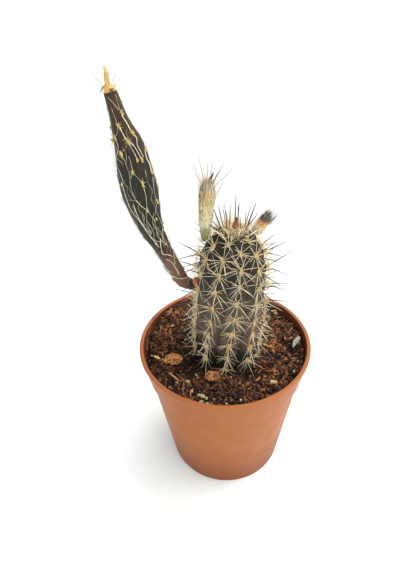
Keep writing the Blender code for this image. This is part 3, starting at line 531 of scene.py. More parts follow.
def random_turns(draw, count):
    """Turning matrices from random unit quaternions."""
    w, x, y, z = unit(draw.normal(size=(count, 4))).T
    rows = (
        (1 - 2 * (y * y + z * z), 2 * (x * y - w * z), 2 * (x * z + w * y)),
        (2 * (x * y + w * z), 1 - 2 * (x * x + z * z), 2 * (y * z - w * x)),
        (2 * (x * z - w * y), 2 * (y * z + w * x), 1 - 2 * (x * x + y * y)),
    )
    return np.moveaxis(np.array(rows), -1, 0)


def grid_faces(rows, columns, closed=True):
    """Quads between neighbours of a grid of points; a closed grid joins its last column to its first."""
    row, column = np.meshgrid(np.arange(rows - 1), np.arange(columns - (not closed)), indexing="ij")
    after = (column + 1) % columns
    corners = (row * columns + column, row * columns + after,
               (row + 1) * columns + after, (row + 1) * columns + column)
    return np.stack(corners, axis=-1).reshape(-1, 4)


def capped(rings, poles=None):
    """A closed body of rings: quads between them, and a fan to a pole past each end."""
    rows, columns = rings.shape[:2]
    low, high = poles if poles is not None else (rings[0].mean(axis=0), rings[-1].mean(axis=0))
    points = np.concatenate((rings.reshape(-1, 3), [low, high]))
    ring = np.arange(columns)
    after = (ring + 1) % columns
    last = (rows - 1) * columns
    low_fan = np.stack((after, ring, np.full(columns, rows * columns)), axis=-1)
    high_fan = np.stack((last + ring, last + after, np.full(columns, rows * columns + 1)), axis=-1)
    return points, [grid_faces(rows, columns), low_fan, high_fan]


def ring_values(numbers):
    """One number a point for a capped body: the grid's own, and the end rings' means at the poles."""
    return np.concatenate((numbers.ravel(), [numbers[0].mean(), numbers[-1].mean()]))


def closed(rings, along, tone=0.5):
    """A capped body in one tone, with the way along it."""
    points, faces = capped(rings)
    along = ring_values(np.broadcast_to(along, rings.shape[:2]))
    return points, faces, {"along": along, "tone": np.full(len(points), tone)}


def repeated(points, faces):
    """Join many copies of one template: points are (copies, points, 3), and faces count in one copy."""
    copies, each = points.shape[:2]
    shift = (np.arange(copies) * each)[:, None, None]
    return points.reshape(-1, 3), [(part[None] + shift).reshape(-1, part.shape[1]) for part in faces]


def strands(paths, widths, tones, sides=3, flatness=1.0):
    """Closed thin tubes along many paths at once, with the way along and each tube's own tone as values.

    Each inner point of a path carries a ring: the point, plus its half width times the cosine and
    sine of the ring's angle along two directions square to the path, the second of them times the
    flatness. Both ends close in the path's own end points.
    """
    count, steps = paths.shape[:2]
    along = unit(np.gradient(paths, axis=1))
    chord = unit(paths[:, -1] - paths[:, 0])
    # The world axis that each tube runs along least, the upright one first; flat tubes lie level
    helper = np.eye(3)[np.abs(chord * (1.0, 1.0, 0.6)).argmin(axis=-1)]
    if flatness < 1.0:
        helper = np.broadcast_to(UP + 0.05 * RIGHT, helper.shape)
    first = unit(np.cross(helper[:, None], along))
    second = np.cross(along, first)
    angle = turns(sides)[:, None]
    spokes = np.cos(angle) * first[:, 1:-1, None] + flatness * np.sin(angle) * second[:, 1:-1, None]
    rings = paths[:, 1:-1, None] + np.broadcast_to(widths, (count, steps))[:, 1:-1, None, None] * spokes
    points = np.concatenate((rings.reshape(count, -1, 3), paths[:, :1], paths[:, -1:]), axis=1)
    inner = np.repeat(np.linspace(0.0, 1.0, steps)[1:-1], sides)
    way = np.tile(np.concatenate((inner, [0.0, 1.0])), count)
    return (*repeated(points, capped(rings[0])[1]), {"along": way, "tone": np.repeat(tones, len(inner) + 2)})


def taper(steps, root=0.75, belly=0.25):
    """Share of the full width at each step of a spine: swelling from its root, then thinning to a point."""
    t = np.linspace(0.0, 1.0, steps)
    return np.minimum(root + t / belly * (1.0 - root), 1.0) * (1.0 - t) ** 0.75


def ball(rings, sides):
    """A closed ball of radius 1: rings at even tilts between its two poles."""
    tilt = (math.pi * (np.arange(rings) + 1) / (rings + 1) - math.pi / 2)[:, None]
    return capped(circle(np.cos(tilt), turns(sides), np.sin(tilt)), (-UP, UP))


def lumps(draw, places, sizes, frames, rough, rings=3, sides=6):
    """Rough pebbles: balls with each point pushed in or out, scaled, turned and placed.

    It also gives how many points one of them has.
    """
    points, faces = ball(rings, sides)
    push = 1.0 + rough * draw.uniform(-1.0, 1.0, (len(places), len(points), 1))
    local = points * push * sizes[:, None, :]
    return (*repeated(np.einsum("nij,nmj->nmi", frames, local) + places[:, None], faces), len(points))


def join(*bodies):
    """One body from several (points, faces, values): the faces count on, and the values follow."""
    points, faces, shift = [], [], 0
    for body in bodies:
        points.append(body[0])
        faces += [part + shift for part in body[1]]
        shift += len(body[0])
    values = {key: np.concatenate([body[2][key] for body in bodies]) for key in bodies[0][2]}
    return np.concatenate(points), faces, values


def add_piece(name, body, finish, nodes=()):
    """Put a body's arrays into a mesh that rides on the root body and stands for its CAD nodes."""
    points, faces, values = body
    mesh = bpy.data.meshes.new(name)
    loops = np.concatenate([part.ravel() for part in faces])
    totals = np.concatenate([np.full(len(part), part.shape[1]) for part in faces])
    mesh.vertices.add(len(points))
    mesh.vertices.foreach_set("co", np.ascontiguousarray(points, dtype=np.float32).ravel())
    mesh.loops.add(len(loops))
    mesh.loops.foreach_set("vertex_index", loops.astype(np.int32))
    mesh.polygons.add(len(totals))
    mesh.polygons.foreach_set("loop_start", (np.cumsum(totals) - totals).astype(np.int32))
    for key, numbers in values.items():
        attribute = mesh.attributes.new(key, "FLOAT", "POINT")
        attribute.data.foreach_set("value", np.asarray(numbers, dtype=np.float32))
    mesh.update(calc_edges=True)
    mesh.validate()
    mesh.shade_smooth()
    mesh.materials.append(finish)
    item = bpy.data.objects.new(name, mesh)
    bpy.context.scene.collection.objects.link(item)
    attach(item, "root")
    if nodes:
        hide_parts(*nodes)
    return item


def weld(item):
    """Merge the points that a piece's neighbouring patches share, and crease its sharp edges."""
    shape = bmesh.new()
    shape.from_mesh(item.data)
    bmesh.ops.remove_doubles(shape, verts=shape.verts, dist=WELD_GAP)
    shape.to_mesh(item.data)
    shape.free()
    item.data.shade_smooth()
    item.data.set_sharp_from_angle(angle=CREASE)


class Finish:
    """A node material under construction: each call adds a node and gives back its output.

    Sizes of clouds and cells and depths of bumps are in millimetres.
    """

    def __init__(self, name, roughness, specular, **sockets):
        self.material = bpy.data.materials.new(name)
        self.material.use_nodes = True
        self.tree = self.material.node_tree
        self.shader = self.tree.nodes["Principled BSDF"]
        sockets.update(Roughness=roughness, Specular_IOR_Level=specular)
        for key, value in sockets.items():
            self.shader.inputs[key.replace("_", " ")].default_value = value
        self.coordinates = self.node("TexCoord").outputs["Object"]
        self.colour = self.normal = None

    def feed(self, socket, value):
        """Link an output to a socket, or set a plain value on it."""
        if isinstance(value, bpy.types.NodeSocket):
            self.tree.links.new(value, socket)
        elif socket.type == "RGBA":
            socket.default_value = (*value[:3], 1.0)
        else:
            socket.default_value = value

    def node(self, kind, inputs=None, **options):
        """A new node with its options, and its inputs fed by name or place."""
        node = self.tree.nodes.new("ShaderNode" + kind)
        for key, value in options.items():
            setattr(node, key, value)
        for key, value in (inputs or {}).items():
            self.feed(node.inputs[key], value)
        return node

    def attribute(self, name):
        """A number stored on the mesh's points."""
        return self.node("Attribute", attribute_name=name).outputs["Fac"]

    def coordinate(self, axis):
        """One of the object's own coordinates."""
        return self.node("SeparateXYZ", {0: self.coordinates}).outputs[axis]

    def clouds(self, size, detail=3.0, roughness=0.55, stretch=None):
        """Fractal noise with features of about that size, in coordinates scaled along each axis if asked."""
        place = self.coordinates
        if stretch:
            place = self.node("Mapping", {"Vector": place, "Scale": stretch}).outputs["Vector"]
        values = {"Vector": place, "Scale": 1.0 / (size * MM), "Detail": detail, "Roughness": roughness}
        return self.node("TexNoise", values).outputs["Fac"]

    def cells(self, size):
        """Distance within random cells of about that size."""
        values = {"Vector": self.coordinates, "Scale": 1.0 / (size * MM)}
        return self.node("TexVoronoi", values).outputs["Distance"]

    def plus(self, first, second):
        """A sum."""
        return self.node("Math", {0: first, 1: second}, operation="ADD").outputs[0]

    def times(self, first, second):
        """A product."""
        return self.node("Math", {0: first, 1: second}, operation="MULTIPLY").outputs[0]

    def window(self, value, low, high, to_low=0.0, to_high=1.0):
        """A value between low and high, eased to run from to_low to to_high."""
        values = {"Value": value, "From Min": low, "From Max": high, "To Min": to_low, "To Max": to_high}
        return self.node("MapRange", values, interpolation_type="SMOOTHSTEP").outputs["Result"]

    def strayed(self, value, size, by, detail=3.0):
        """A value that wanders up and down by clouds of about that size."""
        return self.plus(value, self.window(self.clouds(size, detail), 0.2, 0.8, -by, by))

    def ramp(self, value, *stops):
        """Colours at places along a value."""
        node = self.node("ValToRGB", {"Fac": value})
        elements = node.color_ramp.elements
        while len(elements) < len(stops):
            elements.new(0.5)
        for element, (place, colour) in zip(elements, stops):
            element.position = place
            element.color = (*colour[:3], 1.0)
        return node.outputs["Color"]

    def blend(self, share, first, second):
        """Two colours mixed by a share."""
        return self.node("Mix", {0: share, 6: first, 7: second}, data_type="RGBA").outputs[2]

    def cover(self, share, colour):
        """Lay a colour over the one so far, by a share."""
        self.colour = self.blend(share, self.colour, colour)

    def bump(self, height, depth, strength=1.0):
        """Raise the surface by a height times a depth, over what is raised already."""
        values = {"Height": height, "Distance": depth * MM, "Strength": strength}
        if self.normal is not None:
            values["Normal"] = self.normal
        self.normal = self.node("Bump", values).outputs["Normal"]

    def done(self, roughness=None):
        """Link the colour, the roughness and the bumps, and give back the material."""
        for key, value in (("Base Color", self.colour), ("Roughness", roughness), ("Normal", self.normal)):
            if value is not None:
                self.feed(self.shader.inputs[key], value)
        return self.material


def plastic_finish(pot):
    """Moulded terracotta-coloured plastic: faint clouding, a rubbed lip lightened further as a painted
    highlight, painted shade towards the foot and over the inner wall, and earth inside the rim.
    """
    made = Finish("terracotta_plastic", 0.46, 0.15)
    inside, z = made.attribute("inside"), made.coordinate("Z")
    mottle = made.window(made.clouds(16.0, 3.0), 0.3, 0.7)
    made.colour = made.blend(mottle, toned(0.94, pot.clay), pot.clay)
    scuff = made.window(made.clouds(1.6, 5.0, 0.7, stretch=(1.0, 1.0, 0.25)), 0.66, 0.8, 0.0, 0.1)
    made.cover(scuff, pot.wear_and_highlight)
    # Painted shade: the plastic darkens towards the foot
    painted_foot_shade = made.window(z, 26.0 * MM, 0.0 * MM, 0.0, 0.9)
    made.cover(painted_foot_shade, toned((0.64, 0.54, 0.48), pot.clay))
    # Partly rubbed wear and partly painted highlight: the lip is lightened towards its top
    lip = made.window(z, POT_HEIGHT - 0.9 * MM, POT_HEIGHT - 0.2 * MM, 0.0, 0.35)
    made.cover(lip, pot.wear_and_highlight)
    # Painted shade: the whole inner wall below the lip is darkened, under the earth crusts
    below = made.window(z, POT_HEIGHT - 0.5 * MM, POT_HEIGHT - 0.1 * MM, 1.0, 0.0)
    inner = made.times(inside, below)
    made.cover(made.times(inner, 0.85), paint(86, 49, 42))
    crust = made.window(made.clouds(1.1, 6.0, 0.7), 0.52, 0.64)
    made.cover(made.times(made.times(inner, crust), 0.75), pot.stain)
    made.bump(made.clouds(0.45, 2.0), 0.012, 0.5)
    made.bump(made.clouds(12.0, 2.0), 0.04, 0.5)
    gloss = made.window(made.clouds(6.0, 3.0), 0.25, 0.75, 0.4, 0.52)
    return made.done(gloss)


def soil_finish(soil):
    """Damp potting mix: its hollows darkened as painted shade under brown and rusty lumps."""
    made = Finish("potting_mix", 0.95, 0.25)
    # Painted shade: the lows of the lump clouds, which the bump sinks, take the dark colour
    lump = made.clouds(0.9, 6.0, 0.7)
    made.colour = made.ramp(lump, (0.36, soil.dark), (0.52, toned(0.5, soil.brown)),
                            (0.66, soil.brown), (0.8, soil.rust))
    made.bump(lump, 0.5)
    made.bump(made.cells(0.6), 0.25)
    return made.done()


def crumb_finish(soil):
    """Crumbs in tones from nearly black through brown to rust, each a little mottled."""
    made = Finish("soil_crumbs", 0.95, 0.25)
    tone = made.strayed(made.attribute("tone"), 0.4, 0.14)
    made.colour = made.ramp(tone, (0.0, soil.dark), (0.34, toned(0.36, soil.brown)),
                            (0.62, soil.brown), (0.86, soil.rust), (1.0, soil.coir))
    made.bump(made.clouds(0.2, 4.0, 0.7), 0.15)
    return made.done()


def coir_finish(soil):
    """Coir and bark fibre: rust to straw by tone, with fine dark streaks."""
    made = Finish("coir_fibre", 0.85, 0.3)
    tone = made.strayed(made.attribute("tone"), 0.5, 0.2)
    made.colour = made.ramp(tone, (0.0, toned(0.3, soil.rust)), (0.4, soil.rust),
                            (0.75, soil.coir), (1.0, paint(214, 158, 96)))
    made.bump(made.clouds(0.15, 3.0, 0.6), 0.06)
    return made.done()


def pumice_finish(soil):
    """Pale pumice with small dark pores."""
    made = Finish("pumice_grit", 0.9, 0.3)
    pores = made.window(made.cells(0.32), 0.1, 0.35)
    made.colour = made.blend(pores, toned(0.45, soil.pumice), soil.pumice)
    warm = made.window(made.clouds(0.8), 0.42, 0.62, 0.0, 0.6)
    made.cover(warm, paint(188, 152, 96))
    earth = made.window(made.clouds(0.6, 4.0, 0.65), 0.52, 0.62, 0.0, 0.8)
    made.cover(earth, soil.brown)
    made.bump(pores, 0.14)
    return made.done()


def flake_finish():
    """A weathered grey flake with lengthwise grain."""
    made = Finish("grey_flake", 0.8, 0.35)
    grain = made.clouds(0.5, 4.0, 0.6)
    made.colour = made.ramp(grain, (0.3, paint(98, 98, 90)), (0.55, paint(142, 144, 132)),
                            (0.75, paint(176, 178, 164)))
    made.bump(grain, 0.1)
    return made.done()


def skin_finish(stem):
    """Grey-green skin: nearly black under the crown, tan cork low between the ribs, painted shade in the
    valleys, dark at the foot.
    """
    made = Finish("cactus_skin", 0.6, 0.16, Subsurface_Weight=0.04, Subsurface_Scale=1.0 * MM)
    height = made.attribute("height")
    groove = made.attribute("groove")
    level = made.strayed(height, 4.0, 0.08)
    made.colour = made.ramp(level, (0.02, toned(0.5, stem.foot)), (0.17, stem.foot),
                            (0.36, stem.middle), (0.58, stem.middle), (0.78, stem.crown), (1.0, stem.crown))
    cork = made.times(made.window(height, 0.13, 0.24), made.window(height, 0.66, 0.46))
    cork = made.times(cork, made.window(made.clouds(2.6, 5.0, 0.65), 0.36, 0.54))
    made.cover(made.times(cork, 0.9), stem.tan)
    # Painted shade: the valleys between the ribs are darkened
    shade = made.window(groove, 0.55, 1.0, 0.0, 0.55)
    made.cover(shade, toned(0.35, stem.crown))
    dots = made.window(made.cells(0.42), 0.08, 0.2, 0.34, 0.0)
    made.cover(dots, paint(158, 156, 140))
    streak = made.window(made.clouds(0.7, 4.0, 0.6, stretch=(1.0, 1.0, 0.3)), 0.55, 0.75, 0.0, 0.4)
    made.cover(streak, toned(1.5, stem.middle))
    made.bump(made.clouds(0.35, 5.0, 0.65), 0.1)
    made.bump(made.clouds(1.5, 3.0, stretch=(0.6, 0.6, 1.8)), 0.3)
    gloss = made.window(made.clouds(1.2), 0.3, 0.7, 0.48, 0.72)
    return made.done(gloss)


def wool_finish(name, root, tip, sheen=0.35):
    """Soft fibre that fades from its root's colour to its tip's, each tuft in its own tone."""
    made = Finish(name, 0.85, 0.25, Sheen_Weight=sheen, Sheen_Roughness=0.6)
    own = made.window(made.attribute("tone"), 0.0, 1.0, -0.35, 0.35)
    share = made.plus(made.attribute("along"), own)
    made.colour = made.blend(made.window(share, 0.05, 0.95), root, tip)
    made.bump(made.clouds(0.12, 3.0, 0.6), 0.05)
    return made.done()


def spine_finish(name, root, body, tip):
    """A stiff, slightly glassy spine: root, body and tip colours, each spine a little darker or paler."""
    made = Finish(name, 0.42, 0.5, Subsurface_Weight=0.1, Subsurface_Scale=0.3 * MM)
    along = made.attribute("along")
    made.colour = made.ramp(along, (0.0, root), (0.3, body), (0.72, body), (1.0, tip))
    shade = made.window(made.attribute("tone"), 0.3, 1.0, 0.0, 0.55)
    made.cover(shade, toned(0.55, body))
    return made.done()


def pod_finish(pod):
    """Dried pod skin: green-black in the middle, bark brown at both ends, with long fine wrinkles whose
    hollows hold painted shade.
    """
    made = Finish("pod_skin", 0.55, 0.16)
    along = made.attribute("along")
    level = made.strayed(along, 3.0, 0.07, 4.0)
    dull = toned(0.34, pod.bark)
    made.colour = made.ramp(level, (0.0, dull), (0.04, pod.bark), (0.37, pod.bark), (0.5, pod.flesh),
                            (0.74, pod.flesh), (0.86, paint(62, 43, 31)), (1.0, paint(68, 47, 33)))
    wrinkle = made.clouds(0.6, 5.0, 0.62, stretch=(1.0, 1.0, 0.14))
    above = made.window(along, 0.2, 0.4)
    streak = made.times(made.window(wrinkle, 0.5, 0.74, 0.0, 0.4), above)
    made.cover(streak, paint(104, 94, 72))
    # Painted shade: the wrinkles' hollows turn near-black
    made.cover(made.window(wrinkle, 0.42, 0.3, 0.0, 0.5), paint(22, 18, 16))
    made.bump(wrinkle, 0.22)
    made.bump(made.clouds(0.25, 4.0), 0.05)
    gloss = made.window(wrinkle, 0.3, 0.7, 0.42, 0.62)
    return made.done(gloss)


def strand_finish(pod):
    """Dried raised strands: dull grey-brown to bright straw by each strand's own tone."""
    made = Finish("pod_strand", 0.7, 0.3)
    mottle = made.window(made.clouds(0.8, 3.0), 0.25, 0.75, -0.16, 0.16)
    made.colour = made.ramp(made.plus(made.attribute("tone"), mottle), (0.15, paint(96, 84, 70)),
                            (0.5, paint(178, 172, 152)), (0.72, paint(212, 204, 178)), (0.95, pod.strand))
    return made.done()


def felt_finish(pod):
    """Dense rust-coloured felt."""
    made = Finish("rust_felt", 0.9, 0.2, Sheen_Weight=0.3, Sheen_Roughness=0.5)
    nap = made.clouds(0.25, 5.0, 0.7)
    made.colour = made.ramp(nap, (0.3, toned(0.5, pod.felt)), (0.5, pod.felt), (0.72, paint(206, 132, 84)))
    made.bump(nap, 0.12)
    return made.done()


def straw_finish(pod):
    """Papery dried petals in straw and ochre, with lengthwise veins."""
    made = Finish("dried_petals", 0.65, 0.35, Subsurface_Weight=0.12, Subsurface_Scale=0.5 * MM)
    vein = made.clouds(0.4, 4.0, 0.6, stretch=(1.0, 1.0, 0.3))
    made.colour = made.ramp(vein, (0.28, paint(96, 62, 34)), (0.42, paint(196, 152, 84)), (0.6, pod.straw))
    made.cover(made.window(made.attribute("tone"), 0.6, 1.0, 0.0, 0.6), paint(246, 228, 180))
    # Painted shade in a hollow at the right of the withered collar
    x, z = made.coordinate("X"), made.coordinate("Z")
    hollow = made.times(made.window(x, -23.6 * MM, -23.3 * MM), made.window(z, 126.0 * MM, 125.5 * MM))
    hollow = made.times(hollow, made.window(x, -22.5 * MM, -22.8 * MM))
    made.cover(made.times(hollow, 0.85), paint(84, 54, 30))
    made.bump(vein, 0.1)
    return made.done()


def bud_finish(name, stops, furrow=0.4):
    """A woolly tube's own skin, coloured along its height, under fine upright felt."""
    made = Finish(name, 0.9, 0.2, Sheen_Weight=0.2, Sheen_Roughness=0.5)
    felt = made.clouds(0.45, 5.0, 0.65, stretch=(1.0, 1.0, 0.22))
    wander = made.window(made.clouds(1.2, 3.0), 0.2, 0.8, -0.06, 0.06)
    made.colour = made.ramp(made.plus(made.attribute("along"), wander), *stops)
    made.cover(made.window(felt, 0.55, 0.4, 0.0, furrow), paint(112, 94, 64))
    made.bump(felt, 0.2)
    return made.done()


def stem_axis(height):
    """The stem's centre: its foot, a straight lean, and a bow that grows with the height squared."""
    forward = LEAN_FRONT * height + BOW_FRONT * height**2
    return FOOT + spots(LEAN_RIGHT * height, -forward, height)


def stem_frame(height):
    """The axis's direction at a height, and the right and back directions square to it."""
    slope = -LEAN_FRONT - 2.0 * BOW_FRONT * height
    along = unit(spots(LEAN_RIGHT, slope, 1.0))
    right = unit(RIGHT - along[..., :1] * along)
    return along, right, np.cross(along, right)


def stem_radius(height):
    """Radius over the ribs: straight, narrower at the foot, and R*sqrt(1 - t^4.9) over the shoulder."""
    share = np.clip((height - SHOULDER_FROM) / (STEM_HEIGHT - SHOULDER_FROM), 0.0, 1.0)
    below = np.clip(1.0 - np.maximum(height, 0.0) / SHOULDER_FROM, 0.0, 1.0)
    return STEM_RADIUS * np.sqrt(1.0 - share**SHOULDER_POWER) * (1.0 - FOOT_TAPER * below**2)


def skin(height, turn, depth=0.0):
    """A point on the stem at a height and a turn from the front, a depth below the ribs' crests."""
    height, turn = np.broadcast_arrays(np.asarray(height, dtype=float), turn)
    right, back = stem_frame(height)[1:]
    radius = (stem_radius(height) * (1.0 - depth / STEM_RADIUS))[..., None]
    return stem_axis(height) + radius * (np.sin(turn)[..., None] * right - np.cos(turn)[..., None] * back)


def rib_sway(rib, height):
    """How far a rib strays from its even place: its own sway low down, eased away up the stem."""
    strayed = np.interp(np.asarray(rib) % RIBS, np.arange(RIBS + 1), np.append(RIB_SWAY, RIB_SWAY[0]))
    return strayed * (1.0 - ease(height, SWAY_FROM, SWAY_TO))


def even_turn(rib, height):
    """Turn of a rib's crest at its even place: the ribs wind slowly round the stem."""
    return FIRST_RIB_TURN + rib * TAU / RIBS + RIB_TWIST * np.maximum(height, 0.0)


def skin_walk():
    """Heights up the stem, closer together towards the crown, with the way walked up the skin to each."""
    share = 1.0 - np.linspace(1.0, 0.0, 6000) ** 2
    heights = SKIN_FROM + (STEM_HEIGHT - SKIN_FROM) * share
    steps = np.hypot(np.diff(heights), np.diff(stem_radius(heights)))
    return heights, np.concatenate(([0.0], np.cumsum(steps)))


def row_heights():
    """Heights of the half rows of areoles: each stands one pitch over the last, read at the last's height."""
    rows = [FIRST_ROW]
    while len(rows) < HALF_ROWS:
        rows.append(rows[-1] + np.interp(rows[-1], *ROW_PITCH.T))
    return np.minimum(rows, STEM_HEIGHT - 0.1 * MM)


def skin_directions(height, turn):
    """Outward, rightward and upward directions of the skin."""
    step = 0.3 * MM
    high = skin(np.minimum(height + step, SKIN_TO), turn)
    up = unit(high - skin(height - step, turn))
    right = unit(skin(height, turn + 0.05) - skin(height, turn - 0.05))
    return unit(np.cross(right, up)), right, up


def seat_of(rib):
    """The point just over the skin where a flower stands on its rib."""
    turn = even_turn(rib, FLOWER_HEIGHT)
    return skin(FLOWER_HEIGHT, turn) + SEAT_GAP * skin_directions(FLOWER_HEIGHT, turn)[0]


def areoles():
    """Height, turn and size of every areole, in staggered rows up the ribs, clear of the flowers' seats."""
    rib, row = np.meshgrid(np.arange(RIBS), np.arange(HALF_ROWS), indexing="ij")
    kept = (rib + row) % 2 == 0
    rib, height = rib[kept], row_heights()[row[kept]]
    turn = even_turn(rib, height) + rib_sway(rib, height)
    seats = np.array((node_box("pod_seat")[0], seat_of(BUD_RIB), seat_of(STUMP_RIB)))
    away = np.linalg.norm(skin(height, turn)[:, None] - seats, axis=-1).min(axis=1)
    free = away > SEAT_CLEAR
    size = np.clip(1.3 * stem_radius(height) / STEM_RADIUS, 0.6, 1.0)
    return height[free], turn[free], size[free]


def stem_depth(height, turn, tubercle):
    """Depth below the crests: rounded ribs, which sink a little between their areoles.

    With q from 0 on a crest to 1 in a valley, it is the rib's depth times q^1.8, and the tubercle's
    depth times (1 - q^2) times the sine squared of the half row's phase, which is 0 at each areole.
    The ribs are shallow where the stem is swollen, by 1 - 0.6 * exp(-((height - 18 mm) / 9 mm)^2).
    """
    even = (turn - FIRST_RIB_TURN - RIB_TWIST * np.maximum(height, 0.0)) * RIBS / TAU
    place = even - rib_sway(even, height) * RIBS / TAU
    rib = np.round(place)
    across = np.abs(place - rib) * 2.0
    row = np.interp(height, row_heights(), np.arange(HALF_ROWS))
    between = np.sin(0.5 * math.pi * (row - rib)) ** 2
    swollen = 1.0 - 0.6 * np.exp(-(((height - 18.0 * MM) / (9.0 * MM)) ** 2))
    depth = RIB_DEPTH * swollen * across**1.8 + tubercle * (1.0 - across**2) * between
    return depth, across


def nearness(x, y, table):
    """Shares exp(-(distance/width)^2) of the round patches of a table, from x and y first and width last."""
    away = (np.asarray(x)[..., None] - table[:, 0]) ** 2 + (np.asarray(y)[..., None] - table[:, 1]) ** 2
    return np.exp(-away / table[:, -1] ** 2)


def soil_top(x, y):
    """Height of the soil: its level, and the rise of each mound and hollow times its nearness."""
    return SOIL_LEVEL + (SOIL_FORMS[:, 2] * nearness(x, y, SOIL_FORMS)).sum(axis=-1)


def patches(x, y, table):
    """How far places lie inside the soft round patches of a table: the share of the nearest."""
    return nearness(x, y, table).max(axis=-1)


def pot_inner_radius(z):
    """Radius of the pot's inner wall at a height."""
    low = BASE_RADIUS - WALL + z / COLLAR_BOTTOM * (BODY_RADIUS - BASE_RADIUS)
    share = (z - COLLAR_BOTTOM) / (POT_HEIGHT - COLLAR_BOTTOM)
    high = COLLAR_RADIUS - WALL + share * (RIM_RADIUS - LIP - COLLAR_RADIUS)
    return np.where(z > COLLAR_BOTTOM, high, low)


def inside_pot(points):
    """Points pulled straight in to the pot's inner wall, where they stand past it and below its lip."""
    reach = np.hypot(points[:, 0], points[:, 1])
    trim = np.minimum(1.0, (pot_inner_radius(points[:, 2]) - WALL_GAP) / np.maximum(reach, MM))
    trim = np.where(points[:, 2] < POT_HEIGHT, trim, 1.0)[:, None]
    return np.concatenate((points[:, :2] * trim, points[:, 2:]), axis=1)


def soil_scatter(draw, count, spare=0.3 * MM):
    """Random places on the soil: even over the ring between the stem's foot and the pot's wall."""
    outer = pot_inner_radius(SOIL_LEVEL) - spare
    inner = stem_radius(GROUND) - 0.6 * MM
    foot = stem_axis(GROUND)
    share = np.sqrt(draw.random(3 * count))
    turn = draw.uniform(0.0, TAU, 3 * count)
    x, y = outer * share * np.cos(turn), outer * share * np.sin(turn)
    free = np.hypot(x - foot[0], y - foot[1]) > inner
    return x[free][:count], y[free][:count]


def rounded(outline, radius, steps=5):
    """An outline with each inner corner cut back by the radius and bridged by a quadratic curve."""
    before, corner, after = outline[:-2], outline[1:-1], outline[2:]
    reach_in = np.linalg.norm(before - corner, axis=1, keepdims=True)
    reach_out = np.linalg.norm(after - corner, axis=1, keepdims=True)
    start = corner + (before - corner) * np.minimum(radius / reach_in, 0.45)
    end = corner + (after - corner) * np.minimum(radius / reach_out, 0.45)
    t = np.linspace(0.0, 1.0, steps)[:, None, None]
    arcs = (1 - t) ** 2 * start + 2 * t * (1 - t) * corner + t**2 * end
    return np.concatenate((outline[:1], np.swapaxes(arcs, 0, 1).reshape(-1, 2), outline[-1:]))


def drained_disc(radius, z, sides, steps=4):
    """A disc with a ring of holes, as equal sectors of rings that grow from each hole to its outline.

    A sector's outline runs along its inner arc, out, back along its outer arc and in. Each ring's
    point is (1 - s) times the point at the same bearing on the hole's edge, plus s times the outline's.
    """
    half = math.pi / DRAIN_COUNT
    arc = sides // DRAIN_COUNT
    inner = 4.0 * MM
    turn = np.concatenate((np.linspace(-half, half, arc + 1), np.full(5, half),
                           np.linspace(half, -half, arc + 1), np.full(5, -half)))
    reach = np.concatenate((np.full(arc + 1, radius), np.linspace(radius, inner, 7)[1:-1],
                            np.full(arc + 1, inner), np.linspace(inner, radius, 7)[1:-1]))
    outline = circle(reach, turn)[:, :2]
    hole = np.array((DRAIN_CIRCLE, 0.0))
    edge = hole + DRAIN_RADIUS * unit(outline - hole)
    s = np.linspace(0.0, 1.0, steps)[:, None, None]
    flat = (1 - s) * edge + s * outline
    sectors = []
    for number in range(DRAIN_COUNT):
        swing = TAU * (number + 0.5) / DRAIN_COUNT
        cosine, sine = math.cos(swing), math.sin(swing)
        sectors.append(spots(flat[..., 0] * cosine - flat[..., 1] * sine,
                             flat[..., 0] * sine + flat[..., 1] * cosine, z))
    return np.array(sectors), circle(inner, turns(sides), z)


def patch(rings, inside, flip=False):
    """A grid of rings as a body of its own, its faces turned over if asked."""
    faces = grid_faces(*rings.shape[:2])
    return (rings.reshape(-1, 3), [faces[:, ::-1] if flip else faces],
            {"inside": np.broadcast_to(inside, rings.shape[:2]).ravel()})


def pot_body(pot):
    """The pot: its section turned about the axis, and a floor with drain holes."""
    sides = pot.sides
    inner_rim, inner_base = RIM_RADIUS - LIP - WALL, BASE_RADIUS - WALL
    outline = np.array((
        (BASE_RADIUS - 0.9 * MM, 0.0),
        (BASE_RADIUS - 0.1 * MM, 0.1 * MM),
        (BASE_RADIUS, 0.8 * MM),
        (BODY_RADIUS, COLLAR_BOTTOM - 0.25 * MM),
        (COLLAR_RADIUS, COLLAR_BOTTOM + 0.15 * MM),
        (RIM_RADIUS - LIP, POT_HEIGHT - 1.3 * MM),
        (RIM_RADIUS, POT_HEIGHT - 1.0 * MM),
        (RIM_RADIUS, POT_HEIGHT),
        (inner_rim, POT_HEIGHT),
        (inner_rim, POT_HEIGHT - 0.7 * MM),
        (COLLAR_RADIUS - WALL, COLLAR_BOTTOM + 0.2 * MM),
        (BODY_RADIUS - WALL, COLLAR_BOTTOM - 0.2 * MM),
        (inner_base, FLOOR + 0.5 * MM),
        (inner_base - 0.5 * MM, FLOOR),
    ))
    section = rounded(outline, pot.lip_rounding)
    turn = turns(sides)
    radius, z = section[:, :1], section[:, 1:]
    rings = circle(radius, turn, z)
    inside = (np.arange(len(section)) > INSIDE_FROM * len(section)).astype(float)
    bodies = [patch(rings, inside[:, None])]
    edges = []
    ring = np.arange(sides)
    fan = np.stack((ring, (ring + 1) % sides, np.full(sides, sides)), axis=-1)
    for radius, z, flip in ((section[0, 0], 0.0, False), (section[-1, 0], FLOOR, True)):
        sectors, middle = drained_disc(radius, z, sides)
        edges.append(sectors[:, 0])
        bodies += [patch(sector, float(flip), flip) for sector in sectors]
        bodies.append((np.concatenate((middle, [[0.0, 0.0, z]])), [fan if flip else fan[:, ::-1]],
                       {"inside": np.full(sides + 1, float(flip))}))
    return join(*bodies, *(patch(np.stack(wall), 0.0, True) for wall in zip(*edges)))


